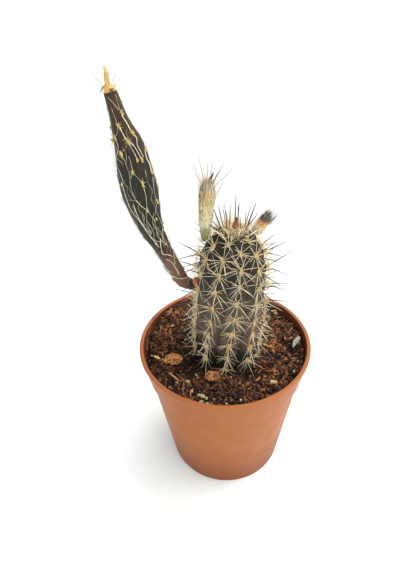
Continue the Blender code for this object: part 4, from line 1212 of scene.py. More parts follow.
def soil_body():
    """The soil: one closed body of rings, up the pot's wall, in over the rough top, and down the root's hole.

    The top's height is soil_top, roughened by value noise at 2.2, 0.9 and 0.4 mm.
    """
    sides = 300
    turn = turns(sides)
    foot = stem_axis(GROUND)
    hole = stem_radius(GROUND) - ROOT_GAP
    edge = pot_inner_radius(SOIL_LEVEL) - SOIL_EDGE_GAP
    rings = []
    for z, spare in ((FLOOR + 0.3 * MM, 0.9 * MM), (COLLAR_BOTTOM - 0.6 * MM, 0.3 * MM),
                     (COLLAR_BOTTOM + 0.8 * MM, 0.3 * MM), (SOIL_LEVEL - 3.0 * MM, 0.1 * MM)):
        radius = pot_inner_radius(z) - spare
        rings.append(circle(radius, turn, z))
    for share in np.linspace(0.0, 1.0, 76):
        radius = edge + share * (hole - edge)
        x = radius * np.cos(turn) + share * foot[0]
        y = radius * np.sin(turn) + share * foot[1]
        flat = spots(x, y, 0.0)
        rough = (0.34 * noise(flat, 2.2 * MM, 3) + 0.24 * noise(flat, 0.9 * MM, 4)
                 + 0.12 * noise(flat, 0.4 * MM, 5)) * MM
        rings.append(spots(x, y, soil_top(x, y) + rough - 0.35 * MM))
    for height, share in ((-3.0, 0.9), (-8.0, 0.58), (-14.0, 0.26), (-17.0, 0.14)):
        rings.append(stem_axis(height * MM) + circle(hole * share + 0.2 * MM, turn))
    points, faces = capped(np.array(rings))
    return inside_pot(points), faces, {}


def crumb_body(draw, count, low, high, rings, sides, tone_low, tone_high, sink):
    """Random rough lumps on the soil, half sunk, their sizes drawn towards the small end."""
    x, y = soil_scatter(draw, count)
    count = len(x)
    size = low + (high - low) * draw.random(count) ** 2.2
    sizes = size[:, None] * draw.uniform(0.75, 1.25, (count, 3)) * (1.35, 0.85, 0.5)
    z = soil_top(x, y) + sink * size - 0.2 * MM
    points, faces, each = lumps(draw, spots(x, y, z), sizes, random_turns(draw, count), 0.34, rings, sides)
    tones = tone_low + (tone_high - tone_low) * draw.random(count) ** 1.9
    # Crumbs in the painted shade patches are darkened; those in rusty patches are reddened
    tones = np.clip(tones * (1.0 - 0.9 * patches(x, y, PAINTED_SHADE_PATCHES)) + 0.22 * patches(x, y, RUSTY), 0.0, 1.0)
    return inside_pot(points), faces, {"tone": np.repeat(tones, each)}


def laid_paths(draw, x, y, lengths, steps, bend, lift, steep):
    """Paths lying on the soil at random bearings, bowed sideways by a sine and tilted a little."""
    count = len(x)
    bearing = draw.uniform(0.0, TAU, count)
    share = np.linspace(-0.5, 0.5, steps)
    bow = bend * draw.uniform(-1.0, 1.0, (count, 1)) * lengths[:, None]
    wave = np.cos(math.pi * share) + 0.4 * np.sin(TAU * share * draw.uniform(0.5, 1.5, (count, 1)))
    run, side = share * lengths[:, None], bow * wave
    cosine, sine = np.cos(bearing)[:, None], np.sin(bearing)[:, None]
    px, py = x[:, None] + run * cosine - side * sine, y[:, None] + run * sine + side * cosine
    limit = pot_inner_radius(SOIL_LEVEL) - 0.35 * MM
    reach = np.hypot(px, py)
    trim = np.minimum(1.0, limit / reach)
    px, py = px * trim, py * trim
    tilt = draw.uniform(-steep, steep, (count, 1)) * run
    z = np.maximum(soil_top(px, py), 0.0) + lift * MM + np.abs(tilt)
    return spots(px, py, np.minimum(z, POT_HEIGHT + 1.5 * MM))


def shred_body(draw, soil):
    """Coir on the soil: many short flat shreds, most in the rusty patches, and long thin threads."""
    x, y = soil_scatter(draw, 3 * soil.shreds, 0.8 * MM)
    rusty = patches(x, y, RUSTY)
    # Fewer shreds lie where shade is painted
    kept = draw.random(len(x)) < (0.1 + 0.9 * rusty) * (1.0 - patches(x, y, PAINTED_SHADE_PATCHES))
    x, y, rusty = x[kept][:soil.shreds], y[kept][:soil.shreds], rusty[kept][:soil.shreds]
    lengths = draw.uniform(0.7, 2.8, len(x)) * MM
    paths = laid_paths(draw, x, y, lengths, 6, 0.16, 0.28, 0.3)
    widths = (draw.uniform(0.07, 0.34, len(x)) * MM)[:, None] * np.array((0.4, 0.8, 1.0, 1.0, 0.8, 0.4))
    tones = draw.uniform(0.05, 0.95, len(x)) ** 1.3 * (0.5 + 0.5 * rusty)
    shreds = strands(paths, widths, tones, 4, 0.45)
    x, y = soil_scatter(draw, soil.threads, 1.2 * MM)
    lengths = draw.uniform(2.0, 6.0, len(x)) * MM
    paths = laid_paths(draw, x, y, lengths, 9, 0.24, 0.4, 0.16)
    widths = draw.uniform(0.04, 0.08, (len(x), 1)) * MM
    threads = strands(paths, widths, draw.uniform(0.15, 0.8, len(x)))
    points, faces, values = join(shreds, threads)
    return inside_pot(points), faces, values


def laid_strand_body():
    """The larger listed strands and chips, as flat fibres along smooth paths over the soil."""
    bodies, steps = [], 14
    for number, (half_width, *points) in enumerate(LAID_STRANDS):
        flat = threaded(np.reshape(points, (-1, 2)) * MM, steps)
        path = np.column_stack((flat, soil_top(*flat.T) + (0.45 + 0.9 * half_width) * MM))[None]
        swell = 0.75 + 0.25 * noise(path[0] + number * MM, 0.7 * MM, 9)
        widths = half_width * MM * swell * np.sin(math.pi * np.linspace(0.12, 0.88, steps)) ** 0.4
        bodies.append(strands(path, widths, 0.55 + 0.3 * math.sin(2.4 * number), 6, 0.45))
    path = threaded(WALL_STRIP, 40)[None]
    widths = 0.46 * MM * (0.5 + noise(path[0], 1.3 * MM, 12)) * np.linspace(1.1, 0.4, 40)
    bodies.append(strands(path, widths, 0.12, 8, 0.4))
    path = threaded(FOOT_SHEATH, 16)[None]
    widths = 0.2 * MM * (0.8 + 0.4 * noise(path[0], 1.1 * MM, 13)) * taper(16, 0.8, 0.2)
    bodies.append(strands(path, widths, 0.72, 6))
    return join(*bodies)


def grit_body(draw, count):
    """Small pale grains: those listed one by one, and more at random."""
    x, y = soil_scatter(draw, count, 0.8 * MM)
    size = (0.1 + 0.24 * draw.random(len(x)) ** 2.5) * MM
    x, y = np.concatenate((LAID_GRAINS[:, 0], x)), np.concatenate((LAID_GRAINS[:, 1], y))
    size = np.concatenate((LAID_GRAINS[:, 2], size))
    sizes = size[:, None] * draw.uniform(0.75, 1.2, (len(x), 3))
    places = spots(x, y, soil_top(x, y) + 0.35 * size)
    points, faces, each = lumps(draw, places, sizes, random_turns(draw, len(x)), 0.22, 4, 7)
    return inside_pot(points), faces, {"tone": np.repeat(draw.random(len(x)), each)}


def pebble_body(node, seed):
    """A pumice grain that fills its node's box: a ball roughened by noise at two scales, then scaled."""
    centre, half = node_box(node)
    points, faces = ball(16, 28)
    push = 0.7 + 0.4 * noise(points, 0.8, seed) + 0.22 * noise(points, 0.35, seed + 1)
    return centre + points * (push / push.max())[:, None] * half, faces, {}


def lump_body(draw, node, fibre_count, tint):
    """A clump of coir in its node's place: angular chips heaped over a rough core, and short bent fibres.

    The tint is added to the tone of all of them.
    """
    centre, half = node_box(node)

    def within(points):
        return centre + np.clip((points - centre) / half, -1.0, 1.0) * half

    core_points, core_faces, _ = pebble_body(node, 31)
    core_points = centre + (core_points - centre) * (0.74 + 0.16 * noise(core_points, 0.7 * MM, 35)[:, None])
    core = (core_points, core_faces, {"along": np.zeros(len(core_points)),
                                      "tone": 0.3 + 0.3 * noise(core_points, 0.5 * MM, 36)})
    chips = 150
    spot = unit(draw.normal(size=(chips, 3)) * (1.0, 1.0, 0.8))
    spot[:, 2] = np.abs(spot[:, 2])
    sizes = draw.uniform(0.16, 0.62, (chips, 1)) * draw.uniform(0.5, 1.3, (chips, 3)) * MM
    places = centre + spot * draw.uniform(0.55, 0.9, (chips, 1)) * half
    points, faces, each = lumps(draw, places, sizes, random_turns(draw, chips), 0.35)
    heap = (within(points), faces, {"along": np.zeros(len(points)),
                                    "tone": np.repeat(draw.random(chips), each)})
    spot = unit(draw.normal(size=(fibre_count, 3)) * (1.0, 1.0, 0.7))
    spot[:, 2] = np.abs(spot[:, 2])
    root = centre + spot * half * draw.uniform(0.75, 1.0, (fibre_count, 1))
    run = unit(np.cross(spot, draw.normal(size=(fibre_count, 3)))) * (1.0, 1.0, 0.6)
    length = draw.uniform(0.6, 2.0, (fibre_count, 1, 1)) * MM
    share = np.linspace(-0.5, 0.5, 6)[:, None]
    paths = root[:, None] + length * (share * run[:, None] + 0.3 * (0.25 - share**2) * spot[:, None])
    widths = draw.uniform(0.05, 0.16, (fibre_count, 1)) * MM * np.array((0.5, 0.9, 1.0, 1.0, 0.9, 0.5))
    threads = strands(within(paths), widths, draw.uniform(0.3, 1.0, fibre_count), 4, 0.6)
    points, faces, values = join(core, heap, threads)
    values["tone"] = np.clip(values["tone"] + tint, 0.0, 1.0)
    return points, faces, values


def leaf_body(node, reach, drop, half_width, arch, thick, seed):
    """A thin flake in its node's place: a lens section with an uneven outline, arched and cupped across.

    It reaches that far both ways from the node's middle, and its far end drops.
    """
    rows, columns = 26, 12
    middle = node_box(node)[0]
    start, end = middle - reach, middle + reach - drop * UP
    share = np.linspace(0.0, 1.0, rows)[:, None]
    angle = turns(columns)
    along = unit(end - start)
    side = unit(np.cross(UP, along))
    over = np.cross(along, side)
    width = half_width * (np.sin(math.pi * (0.04 + 0.92 * share)) ** 0.6) * (0.8 + 0.35 * share)
    uneven = noise(share * np.array((1.0, 0.0, 0.0)), 0.13, seed)[:, None]
    width = width * (1.0 + 0.16 * uneven)
    across = width * np.cos(angle)
    lift = arch * np.sin(math.pi * share) + thick * np.sin(angle) * np.sqrt(width / half_width)
    lift = lift + 0.45 * across**2 / half_width
    sway = 0.1 * half_width * np.sin(TAU * share)
    rings = (start + share[..., None] * (end - start) + (across + sway)[..., None] * side
             + lift[..., None] * over)
    return closed(rings, share, 0.6)


def stem_body(stem):
    """The stem's skin: a grid of heights and turns, from a buried root up to a pole at the crown.

    A point is skin(height, turn, depth), with the depth from stem_depth and two value noises.
    The height attribute runs 0 to 1 up the stem, and the groove attribute 0 on a crest to 1 in a valley.
    """
    columns = 280
    turn = turns(columns)
    heights, walked = skin_walk()
    height = np.interp(np.linspace(0.0, walked[-1] - 0.05 * MM, 170), walked, heights)[:, None]
    wound = turn + RIB_TWIST * np.maximum(height, 0.0)
    depth, across = stem_depth(height, wound, stem.tubercle)
    flat = skin(height, wound, depth)
    depth = depth - 0.07 * MM * noise(flat, 1.3 * MM, 21) - 0.04 * MM * noise(flat, 0.5 * MM, 22)
    rings = skin(height, wound, depth)
    share = np.array((0.14, 0.28, 0.6, 0.92))[:, None, None]
    down = np.array((-17.0, -13.5, -8.0, -4.0)) * MM
    root = stem_axis(down)[:, None] + share * (rings[0] - stem_axis(SKIN_FROM))
    rings = np.concatenate((root, rings))
    points, faces = capped(rings)
    level = np.concatenate((np.zeros(len(down)), height[:, 0] / STEM_HEIGHT))
    groove = np.concatenate((np.ones((len(down), columns)), across))
    values = {"height": ring_values(np.repeat(level[:, None], columns, axis=1)),
              "groove": ring_values(groove)}
    return points, faces, values


def areole_wool_body(draw):
    """Wool on every areole: an upright oval cushion, and short bent fibres that stand out of it."""
    height, turn, size = areoles()
    out, right, up = skin_directions(height, turn)
    centre = skin(height, turn)
    count = len(height)
    frames = np.stack((right, up, out), axis=-1)
    sizes = size[:, None] * draw.uniform(0.8, 1.15, (count, 3)) * np.array((0.4, 0.8, 0.44)) * MM
    points, faces, each = lumps(draw, centre + 0.2 * MM * out, sizes, frames, 0.18, 5, 10)
    cushions = (points, faces, {"along": np.full(len(points), 0.15),
                                "tone": np.repeat(draw.random(count), each)})
    hairs = 64
    bearing = draw.uniform(0.0, TAU, (count, hairs, 1))
    spread = np.sqrt(draw.random((count, hairs, 1)))
    scale = size[:, None, None]
    flat = np.cos(bearing) * 0.6 * right[:, None] + np.sin(bearing) * up[:, None]
    dome = 0.1 + 0.4 * np.sqrt(1.0 - spread**2)
    root = centre[:, None] + scale * MM * (0.85 * spread * flat + dome * out[:, None])
    lean = unit(0.9 * spread * flat + 0.8 * out[:, None] + 0.35 * draw.normal(size=(count, hairs, 3)))
    length = scale * draw.uniform(0.4, 1.05, (count, hairs, 1)) * MM
    share = np.linspace(0.0, 1.0, 5)[:, None]
    droop = 0.3 * draw.normal(size=(count, hairs, 1, 3))
    paths = root[..., None, :] + length[..., None] * (share * lean[..., None, :] + share**2 * droop)
    paths = paths.reshape(-1, 5, 3)
    tones = np.repeat(draw.random(count), hairs) * 0.6 + draw.uniform(0.0, 0.4, len(paths))
    return join(cushions, strands(paths, 0.05 * MM * WOOL_FIBRE, tones))


def crown_height(reach):
    """Height at which the rounded crown is that far from its axis."""
    heights = np.linspace(STEM_HEIGHT - 12.0 * MM, SKIN_TO, 400)
    return np.interp(-np.asarray(reach), -stem_radius(heights), heights)


def crown_wool_body(draw, count):
    """Wool round the growing point: bent fibres rooted over the crown, more of them near its middle."""
    height = crown_height(3.4 * MM * draw.uniform(0.05, 1.0, count) ** 0.7)
    bearing = draw.uniform(0.0, TAU, count)
    out = skin_directions(height, bearing)[0]
    direction = unit(out + 0.6 * draw.normal(size=(count, 3)))
    paths = spine_paths(skin(height, bearing) - 0.1 * MM * out, direction, draw.uniform(0.5, 1.5, count) * MM,
                        0.4 * draw.normal(size=(count, 3)), 5)
    return strands(paths, 0.05 * MM * WOOL_FIBRE, draw.random(count))


def crown_root(right, back, height):
    """Where a spine stands on the crown, so far right and back of its middle, and over its skin."""
    foot = skin(crown_height(np.hypot(right, back)), np.arctan2(right, -back))
    return foot + (height[:, None] - 0.1 * MM) * UP


def leaning(right, back):
    """Directions leaning off upright by so many degrees to the right and to the back."""
    slopes = np.tan(np.radians(np.stack((right, back), axis=-1)))
    return unit(np.concatenate((slopes, np.ones_like(slopes[..., :1])), axis=-1))


def bristle_body(table, root_of):
    """Stiff bristles from a table: each leans off upright, bends a little back towards it, and thins late."""
    right, back, height, lean_right, lean_back, length, half, dark = np.array(table, dtype=float).T
    direction = leaning(lean_right, lean_back)
    bend, steps = 0.12 * (UP - direction), 8
    root = root_of(right * MM, back * MM, height * MM)
    paths = spine_paths(root, direction, BRISTLE_LENGTHEN * length * MM, bend, steps)
    widths = BRISTLE_WIDEN * half[:, None] * MM * (1.0 - np.linspace(0.0, 1.0, steps)) ** 0.45
    return strands(paths, widths, dark, 6)


def spine_paths(root, direction, length, bend, steps=6):
    """Spines as root + t * length * direction + t^2 * length * bend, t from 0 to 1."""
    t = np.linspace(0.0, 1.0, steps)[:, None]
    return root[:, None] + length[:, None, None] * (t * direction[:, None] + t**2 * bend[:, None])


def spine_group(draw, places, count, angles, rises, lengths, factor, spot=0.3):
    """Spines from areoles, as (root, direction, length, bend, width factor).

    They stand at angles round the outward direction and rise out of the skin, all jittered.
    """
    height, turn, size = places
    out, right, up = (direction[:, None] for direction in skin_directions(height, turn))
    shape = (len(height), count)
    angle = angles + draw.uniform(-0.26, 0.26, shape)
    rise = draw.uniform(*np.radians(rises), shape)[..., None]
    flat = np.cos(angle)[..., None] * right + np.sin(angle)[..., None] * up
    direction = np.cos(rise) * flat + np.sin(rise) * out
    length = draw.uniform(*lengths, shape) * (0.45 + 0.55 * size)[:, None] * MM
    root = skin(height, turn)[:, None] + spot * MM * size[:, None, None] * flat + 0.15 * MM * out
    bend = 0.025 * draw.normal(size=(*shape, 3)) - 0.02 * UP
    return root.reshape(-1, 3), direction.reshape(-1, 3), length.ravel(), bend.reshape(-1, 3), factor


def spine_groups(draw, *rows):
    """Groups of spines from rows of what each group takes."""
    return [spine_group(draw, *row) for row in rows]


def spine_body(draw, groups, half_width):
    """Tapering spines for several groups.

    Where a spine would reach the soil, it is tipped up until its end clears the soil's top. Spines that
    would cover the pod's felted seat or the crown's closed bud are left out.
    """
    root, direction, length, bend = (np.concatenate([group[part] for group in groups]) for part in range(4))
    factor = np.concatenate([np.full(len(group[2]), group[4]) for group in groups])
    paths = spine_paths(root, unit(direction), length, bend)
    steps = paths.shape[1]
    under = np.minimum(paths[:, -1, 2] - soil_top(paths[:, -1, 0], paths[:, -1, 1]) - 0.3 * MM, 0.0)
    paths[..., 2] -= under[:, None] * np.linspace(0.0, 1.0, steps)
    for node, spare in SPINES_CLEAR_OF:
        middle = node_box(node)[0]
        towards = unit(VIEWPOINT - middle)
        away = paths - middle
        ahead = np.clip((away * towards).sum(axis=-1, keepdims=True), 0.0, None)
        clear = np.linalg.norm(away - ahead * towards, axis=-1)[:, 1:].min(axis=1) > spare
        paths, factor = paths[clear], factor[clear]
    widths = half_width * factor[:, None] * taper(steps)
    return strands(paths, widths, draw.random(len(paths)), 5)


def chosen(places, mask):
    """The areoles that a mask keeps."""
    return tuple(part[mask] for part in places)


def zone(places, low, high):
    """The areoles between two heights, in millimetres."""
    return chosen(places, (places[0] >= low * MM) & (places[0] < high * MM))


def crown_group(draw, count, reach, lengths, leans):
    """Spines round the middle of the crown, fanned outwards more the farther they stand from it."""
    away = reach * np.sqrt(draw.uniform(0.08, 1.0, count))
    bearing = draw.uniform(0.0, TAU, count)
    height = crown_height(away)
    along, right, back = stem_frame(height)
    spoke = np.sin(bearing)[:, None] * right - np.cos(bearing)[:, None] * back
    root = skin(height, bearing) - 0.1 * MM * along
    direction = along + draw.uniform(*leans, (count, 1)) * spoke * (0.4 + away[:, None] / reach)
    length = draw.uniform(*lengths, count) * MM
    return root, unit(direction), length, 0.04 * draw.normal(size=(count, 3))


def pale_spines(draw, stem):
    """Cream spines: a flat star round each areole, stouter ones over it, and long ones low on the stem."""
    places = areoles()
    count = stem.radials
    low, foot, swollen = zone(places, 0.0, 26.0), zone(places, 0.0, 13.0), zone(places, 13.0, 22.0)
    middle, crown = zone(places, 22.0, 43.6), zone(places, 43.6, STEM_HEIGHT / MM)
    groups = spine_groups(
        draw,
        (middle, count, turns(count), (5.0, 30.0), (3.6, 6.8), 0.68),
        (swollen, 9, turns(9), (5.0, 34.0), (2.6, 5.0), 0.58),
        (foot, 8, turns(8), (8.0, 36.0), (3.2, 5.6), 0.62),
        (crown, 8, turns(8), (15.0, 50.0), (3.0, 5.0), 0.7),
        (places, 2, np.array((-0.6, 2.4)), (28.0, 56.0), (4.2, 6.2), 0.85),
        (low, 1, -1.6, (30.0, 66.0), (4.8, 7.4), 0.95),
        (foot, 2, np.array((-2.0, -1.1)), (12.0, 40.0), (4.4, 7.0), 0.85),
    )
    groups.append((*crown_group(draw, 56, 3.8 * MM, (2.8, 5.2), (0.2, 1.3)), 1.15))
    return spine_body(draw, groups, 0.5 * stem.spine_width)


def dark_spines(draw, stem):
    """Dark central spines: long, stiff and few, mostly up and out, and a fan of them on the crown."""
    places = areoles()
    high, some = zone(places, 20.0, 43.0), zone(places, 8.0, 20.0)
    some = chosen(some, draw.uniform(size=len(some[0])) < 0.4)
    groups = spine_groups(
        draw,
        (high, 1, 1.2, (50.0, 84.0), (6.0, 8.8), 1.9, 0.12),
        (high, 1, -1.4, (44.0, 80.0), (5.4, 8.2), 1.8, 0.12),
        (some, 1, -1.0, (50.0, 84.0), (5.4, 7.6), 1.7, 0.1),
    )
    return join(spine_body(draw, groups, 0.5 * stem.spine_width), bristle_body(CROWN_SPINES, crown_root))


def pod_frames(place):
    """Centre, radius, side and along directions of the pod at a share of the way from its first knots."""
    rows = POD_HOOK + np.asarray(place) * POD_LEGS
    x, z, radius = np.moveaxis(smooth_path(POD_PATH, rows), -1, 0)
    ahead, behind = smooth_path(POD_PATH, rows + 0.05), smooth_path(POD_PATH, rows - 0.05)
    run = (ahead - behind)[..., :2]
    along = unit(spots(run[..., 0], 0.0, run[..., 1]))
    centre = spots(x, POD_PLANE, z)
    return centre, radius, np.cross(BACK, along), along


def pod_point(row, column, lift):
    """A point on the pod: rows along it, columns round it, and a lift off its surface."""
    row, column = np.broadcast_arrays(np.asarray(row, dtype=float), column)
    centre, radius, side, _ = pod_frames(row / POD_ROWS)
    turn = column * TAU / POD_COLUMNS
    spoke = np.cos(turn)[..., None] * side + np.sin(turn)[..., None] * BACK
    return centre + (radius + lift)[..., None] * spoke


def pod_side(leg, across, lift):
    """A point on the pod's measured side: legs of its path past the hook, and a share across its width.

    It is the centre plus (radius + lift) times (sqrt(1 - a^2) * view + a * right), where view is square
    to the path and towards the viewpoint, and right is the path's direction crossed with view.
    """
    centre, radius, _, along = pod_frames(np.asarray(leg) / POD_LEGS)
    view = VIEWPOINT - centre
    view = unit(view - (view * along).sum(axis=-1, keepdims=True) * along)
    across = np.clip(across, -1.0, 1.0)[..., None]
    spoke = np.sqrt(1.0 - across**2) * view + across * np.cross(along, view)
    return centre + (radius + lift)[..., None] * spoke, spoke, along


def pod_body():
    """The pod's skin: a grid of rows and turns on the bent tube, with long wrinkles and low swellings."""
    rows = np.linspace(-POD_HOOK * POD_ROWS / POD_LEGS, POD_ROWS, 260)[:, None]
    sides = 144
    columns = np.arange(sides) * POD_COLUMNS / sides
    turn = columns * TAU / POD_COLUMNS
    flat = spots(rows * 0.9 * MM, 1.6 * MM * np.cos(turn), 1.6 * MM * np.sin(turn))
    wrinkle = 0.1 * noise(flat * (0.35, 1.6, 1.6), 0.42 * MM, 41) + 0.12 * noise(flat, 1.6 * MM, 42)
    lift = (0.05 + wrinkle) * MM
    points, faces = capped(pod_point(rows, columns, lift))
    return points, faces, {"along": ring_values(np.repeat(rows / POD_ROWS, sides, axis=1))}


def pod_strand_body():
    """The strands of the measured side, as tubes along smooth curves through their places."""
    bodies, steps = [], 22
    t = np.linspace(0.0, 1.0, steps)
    for number, (bright, half, *places) in enumerate(POD_STRANDS):
        path = pod_side(*threaded(np.reshape(places, (-1, 2)), steps).T, STRAND_LIFT)[0]
        swell = 0.8 + 0.35 * noise(path, 0.7 * MM, 51 + number) + 0.35 * np.abs(2.0 * t - 1.0) ** 4
        bodies.append(strands(path[None], 0.78 * half * MM * swell, bright, 6))
    return join(*bodies)


def net_knots(draw):
    """Jittered rows and columns of the knots, as arrays of one row of knots each."""
    rows = np.arange(POD_ROWS + 1)[:, None] + draw.uniform(-0.34, 0.34, (POD_ROWS + 1, POD_COLUMNS))
    first = 0.5 * (np.arange(POD_ROWS + 1) % 2)[:, None]
    columns = np.arange(POD_COLUMNS) + first + draw.uniform(-0.15, 0.15, (POD_ROWS + 1, POD_COLUMNS))
    rows[0], rows[-1] = 0.0, POD_ROWS
    return rows, columns


def net_body(draw, pod):
    """The net round the back: a strand from each knot to the two above it, swinging over by 3t^2 - 2t^3."""
    rows, columns = net_knots(draw)
    starts, ends = [], []
    for row in range(2, POD_ROWS - 1):
        for shift in (0, 1) if row % 2 else (0, -1):
            start = np.stack((rows[row], columns[row]), axis=-1)
            other = (np.arange(POD_COLUMNS) + shift) % POD_COLUMNS
            lap = np.arange(POD_COLUMNS) + shift - other
            starts.append(start)
            ends.append(np.stack((rows[row + 1][other], columns[row + 1][other] + lap), axis=-1))
    starts, ends = np.concatenate(starts), np.concatenate(ends)
    t = np.linspace(-0.05, 1.05, 13)
    row = starts[:, :1] + (ends - starts)[:, :1] * t
    column = starts[:, 1:] + (ends - starts)[:, 1:] * ease(t, 0.0, 1.0)
    sway = draw.uniform(-1.0, 1.0, (len(starts), 1)) * 0.12 * np.sin(TAU * t)
    paths = pod_point(row, column + sway, STRAND_LIFT)
    hidden = facing(paths, row)[:, [1, -2]].max(axis=1) < 0.12
    kept = hidden & (draw.random(len(starts)) < 0.85)
    paths = paths[kept]
    swell = 0.8 + 0.3 * noise(paths, 0.8 * MM, 51) + 0.4 * np.abs(2.0 * t - 1.0) ** 3
    widths = 0.5 * pod.strand_width * draw.uniform(0.6, 1.0, (len(paths), 1)) * swell
    return strands(paths, widths, draw.uniform(0.3, 0.85, len(paths)), 6)


def facing(points, row):
    """How far points on the pod face the viewpoint: the cosine between their outward way and the view."""
    centre = pod_frames(row / POD_ROWS)[0]
    return (unit(points - centre) * unit(VIEWPOINT - centre)).sum(axis=-1)


def tuft_places(draw):
    """Tufts as point, outward direction, direction up the pod, size and length: measured, and at the back."""
    leg, across, size, drawn = np.array(POD_TUFTS).T
    point, outward, along = pod_side(leg, across, TUFT_LIFT)
    rows, columns = (knots[4:-1] for knots in net_knots(np.random.default_rng(NET_SEED)))
    row, column = rows.ravel(), columns.ravel()
    knot = pod_point(row, column, TUFT_LIFT)
    kept = (facing(knot, row) < 0.1) & (draw.random(len(row)) < 0.55)
    centre, _, _, knot_along = pod_frames(row[kept] / POD_ROWS)
    more = kept.sum()
    return (np.concatenate((point, knot[kept])), np.concatenate((outward, unit(knot[kept] - centre))),
            np.concatenate((along, knot_along)), np.concatenate((size, draw.uniform(0.5, 1.1, more))),
            np.concatenate((drawn, draw.uniform(1.0, 2.0, more))))


def tuft_body(draw):
    """Tufts at the net's knots: a small cushion drawn out along the pod, and short bent hairs."""
    point, outward, along, size, drawn = tuft_places(draw)
    count = len(size)
    frames = np.stack((np.cross(along, outward), along, outward), axis=-1)
    shape = spots(0.18, 0.23 * drawn, 0.16)
    points, faces, each = lumps(draw, point, size[:, None] * shape * MM, frames, 0.3, 5, 9)
    tones = draw.random(count)
    cushions = (points, faces, {"along": np.full(len(points), 0.3), "tone": np.repeat(tones, each)})
    hairs = 34
    spread = 0.3 * drawn[:, None, None] * draw.uniform(-1.0, 1.0, (count, hairs, 1)) * along[:, None]
    root = point[:, None] + size[:, None, None] * MM * (spread + 0.1 * draw.normal(size=(count, hairs, 3)))
    lean = (0.45 * outward[:, None] + draw.uniform(-1.0, 1.0, (count, hairs, 1)) * along[:, None]
            + 0.5 * draw.normal(size=(count, hairs, 3)))
    length = (size[:, None] * draw.uniform(0.3, 0.75, (count, hairs)) * MM).ravel()
    paths = spine_paths(root.reshape(-1, 3), unit(lean).reshape(-1, 3), length,
                        0.3 * draw.normal(size=(count * hairs, 3)), 5)
    widths = 0.05 * MM * np.array((0.0, 1.0, 0.9, 0.7, 0.0))
    return join(cushions, strands(paths, widths, np.repeat(tones, hairs)))


def inside_box(paths):
    """Paths kept off the left side and the top of the solids' box, which the visual model stays inside."""
    paths[..., 0] = np.maximum(paths[..., 0], CAD_BOX[0][0] + BOX_SPARE)
    paths[..., 2] = np.minimum(paths[..., 2], CAD_BOX[1][2] - BOX_SPARE)
    return paths


def pod_hair_body(draw, count):
    """Loose fine hairs off the pod's edges and back, more of them along its middle."""
    row = draw.triangular(3.4, 0.5 * POD_ROWS, 0.86 * POD_ROWS, count)
    column = draw.uniform(0.0, POD_COLUMNS, count)
    root = pod_point(row, column, 0.12 * MM)
    centre, _, _, along = pod_frames(row / POD_ROWS)
    outward = unit(root - centre)
    direction = unit(along + draw.uniform(0.04, 0.3, (count, 1)) * outward
                     + 0.1 * draw.normal(size=(count, 3)))
    edge = (facing(root, row) < 0.35) | (draw.random(count) < 0.12)
    root, direction, count = root[edge], direction[edge], edge.sum()
    length = draw.uniform(1.4, 4.8, count) * MM
    paths = spine_paths(root, direction, length, 0.1 * draw.normal(size=(count, 3)))
    widths = 0.046 * MM * np.array((1.0, 1.0, 0.9, 0.8, 0.6, 0.0))
    return strands(inside_box(paths), widths, draw.random(count))


def cushion_body(node):
    """A felted cushion in its node's place, a little fuller towards the front: a ball dimpled by noise."""
    points, faces = ball(22, 34)
    push = 0.94 + 0.06 * noise(points, 0.5, 71)
    centre = node_box(node)[0] + SEAT_SHIFT
    return centre + points * push[:, None] * SEAT_HALF, faces, {}


def flower_core_body():
    """The withered flower's core: a creased tube along its path, drawn to a point."""
    places = np.linspace(0.0, len(FLOWER_PATH) - 1.0, 60)
    x, z, radius = smooth_path(FLOWER_PATH, places).T
    turn = turns(40)
    crease = 1.0 - 0.22 * np.abs(np.sin(3.5 * turn + 2.0 * places[:, None])) - 0.08 * np.sin(9.0 * turn)
    reach = radius[:, None] * crease
    rings = spots(x[:, None] + reach * np.cos(turn), POD_PLANE + reach * np.sin(turn),
                  z[:, None] + 0.12 * MM * np.sin(5.0 * turn) * (radius[:, None] > 0.9 * MM))
    return closed(rings, places[:, None] / 7.0)


def flower_place(row, *shift):
    """A place on the withered flower's path, shifted by so many millimetres."""
    x, z, _ = FLOWER_PATH[row]
    return np.array((x, POD_PLANE, z)) + np.array(shift or (0.0, 0.0, 0.0)) * MM


def flower_shred_body(draw):
    """Papery shreds: curled ribbons round the collar, and ribbons twisted up into the spike."""
    collar, spike, steps = 15, 9, 8
    turn = draw.uniform(0.0, TAU, collar)
    out = circle(1.0, turn)
    root = flower_place(1) + 1.15 * MM * out
    root[:, 2] += draw.uniform(-0.6, 0.7, collar) * MM
    direction = unit(0.6 * out + UP * draw.uniform(-0.1, 1.3, (collar, 1)))
    curl = -0.35 * out + 0.25 * draw.normal(size=(collar, 3))
    paths = spine_paths(root, direction, draw.uniform(0.7, 1.9, collar) * MM, curl, steps)
    widths = draw.uniform(0.08, 0.26, (collar, 1)) * MM * np.array((0.6, 0.9, 1.0, 1.0, 0.9, 0.7, 0.5, 0.2))
    rim = strands(paths, widths, draw.random(collar), 5, 0.25)
    share = np.linspace(0.0, 1.0, steps)
    spin = turns(spike)[:, None] + 1.6 * share
    reach = (0.34 * (1.0 - share) + 0.2 * np.sin(math.pi * share)) * MM
    foot, tip = FLOWER_PATH[3], FLOWER_PATH[-1]
    x = foot[0] + share * (tip[0] - foot[0]) + reach * np.cos(spin)
    z = foot[1] + share * (draw.uniform(0.55, 1.0, (spike, 1)) * (tip[1] - foot[1]))
    paths = spots(x, POD_PLANE + reach * np.sin(spin), z)
    widths = draw.uniform(0.14, 0.3, (spike, 1)) * MM * np.array((0.8, 1.0, 1.0, 0.8, 0.8, 0.9, 0.7, 0.2))
    return join(rim, strands(paths, widths, draw.uniform(0.2, 1.0, spike), 5, 0.5))


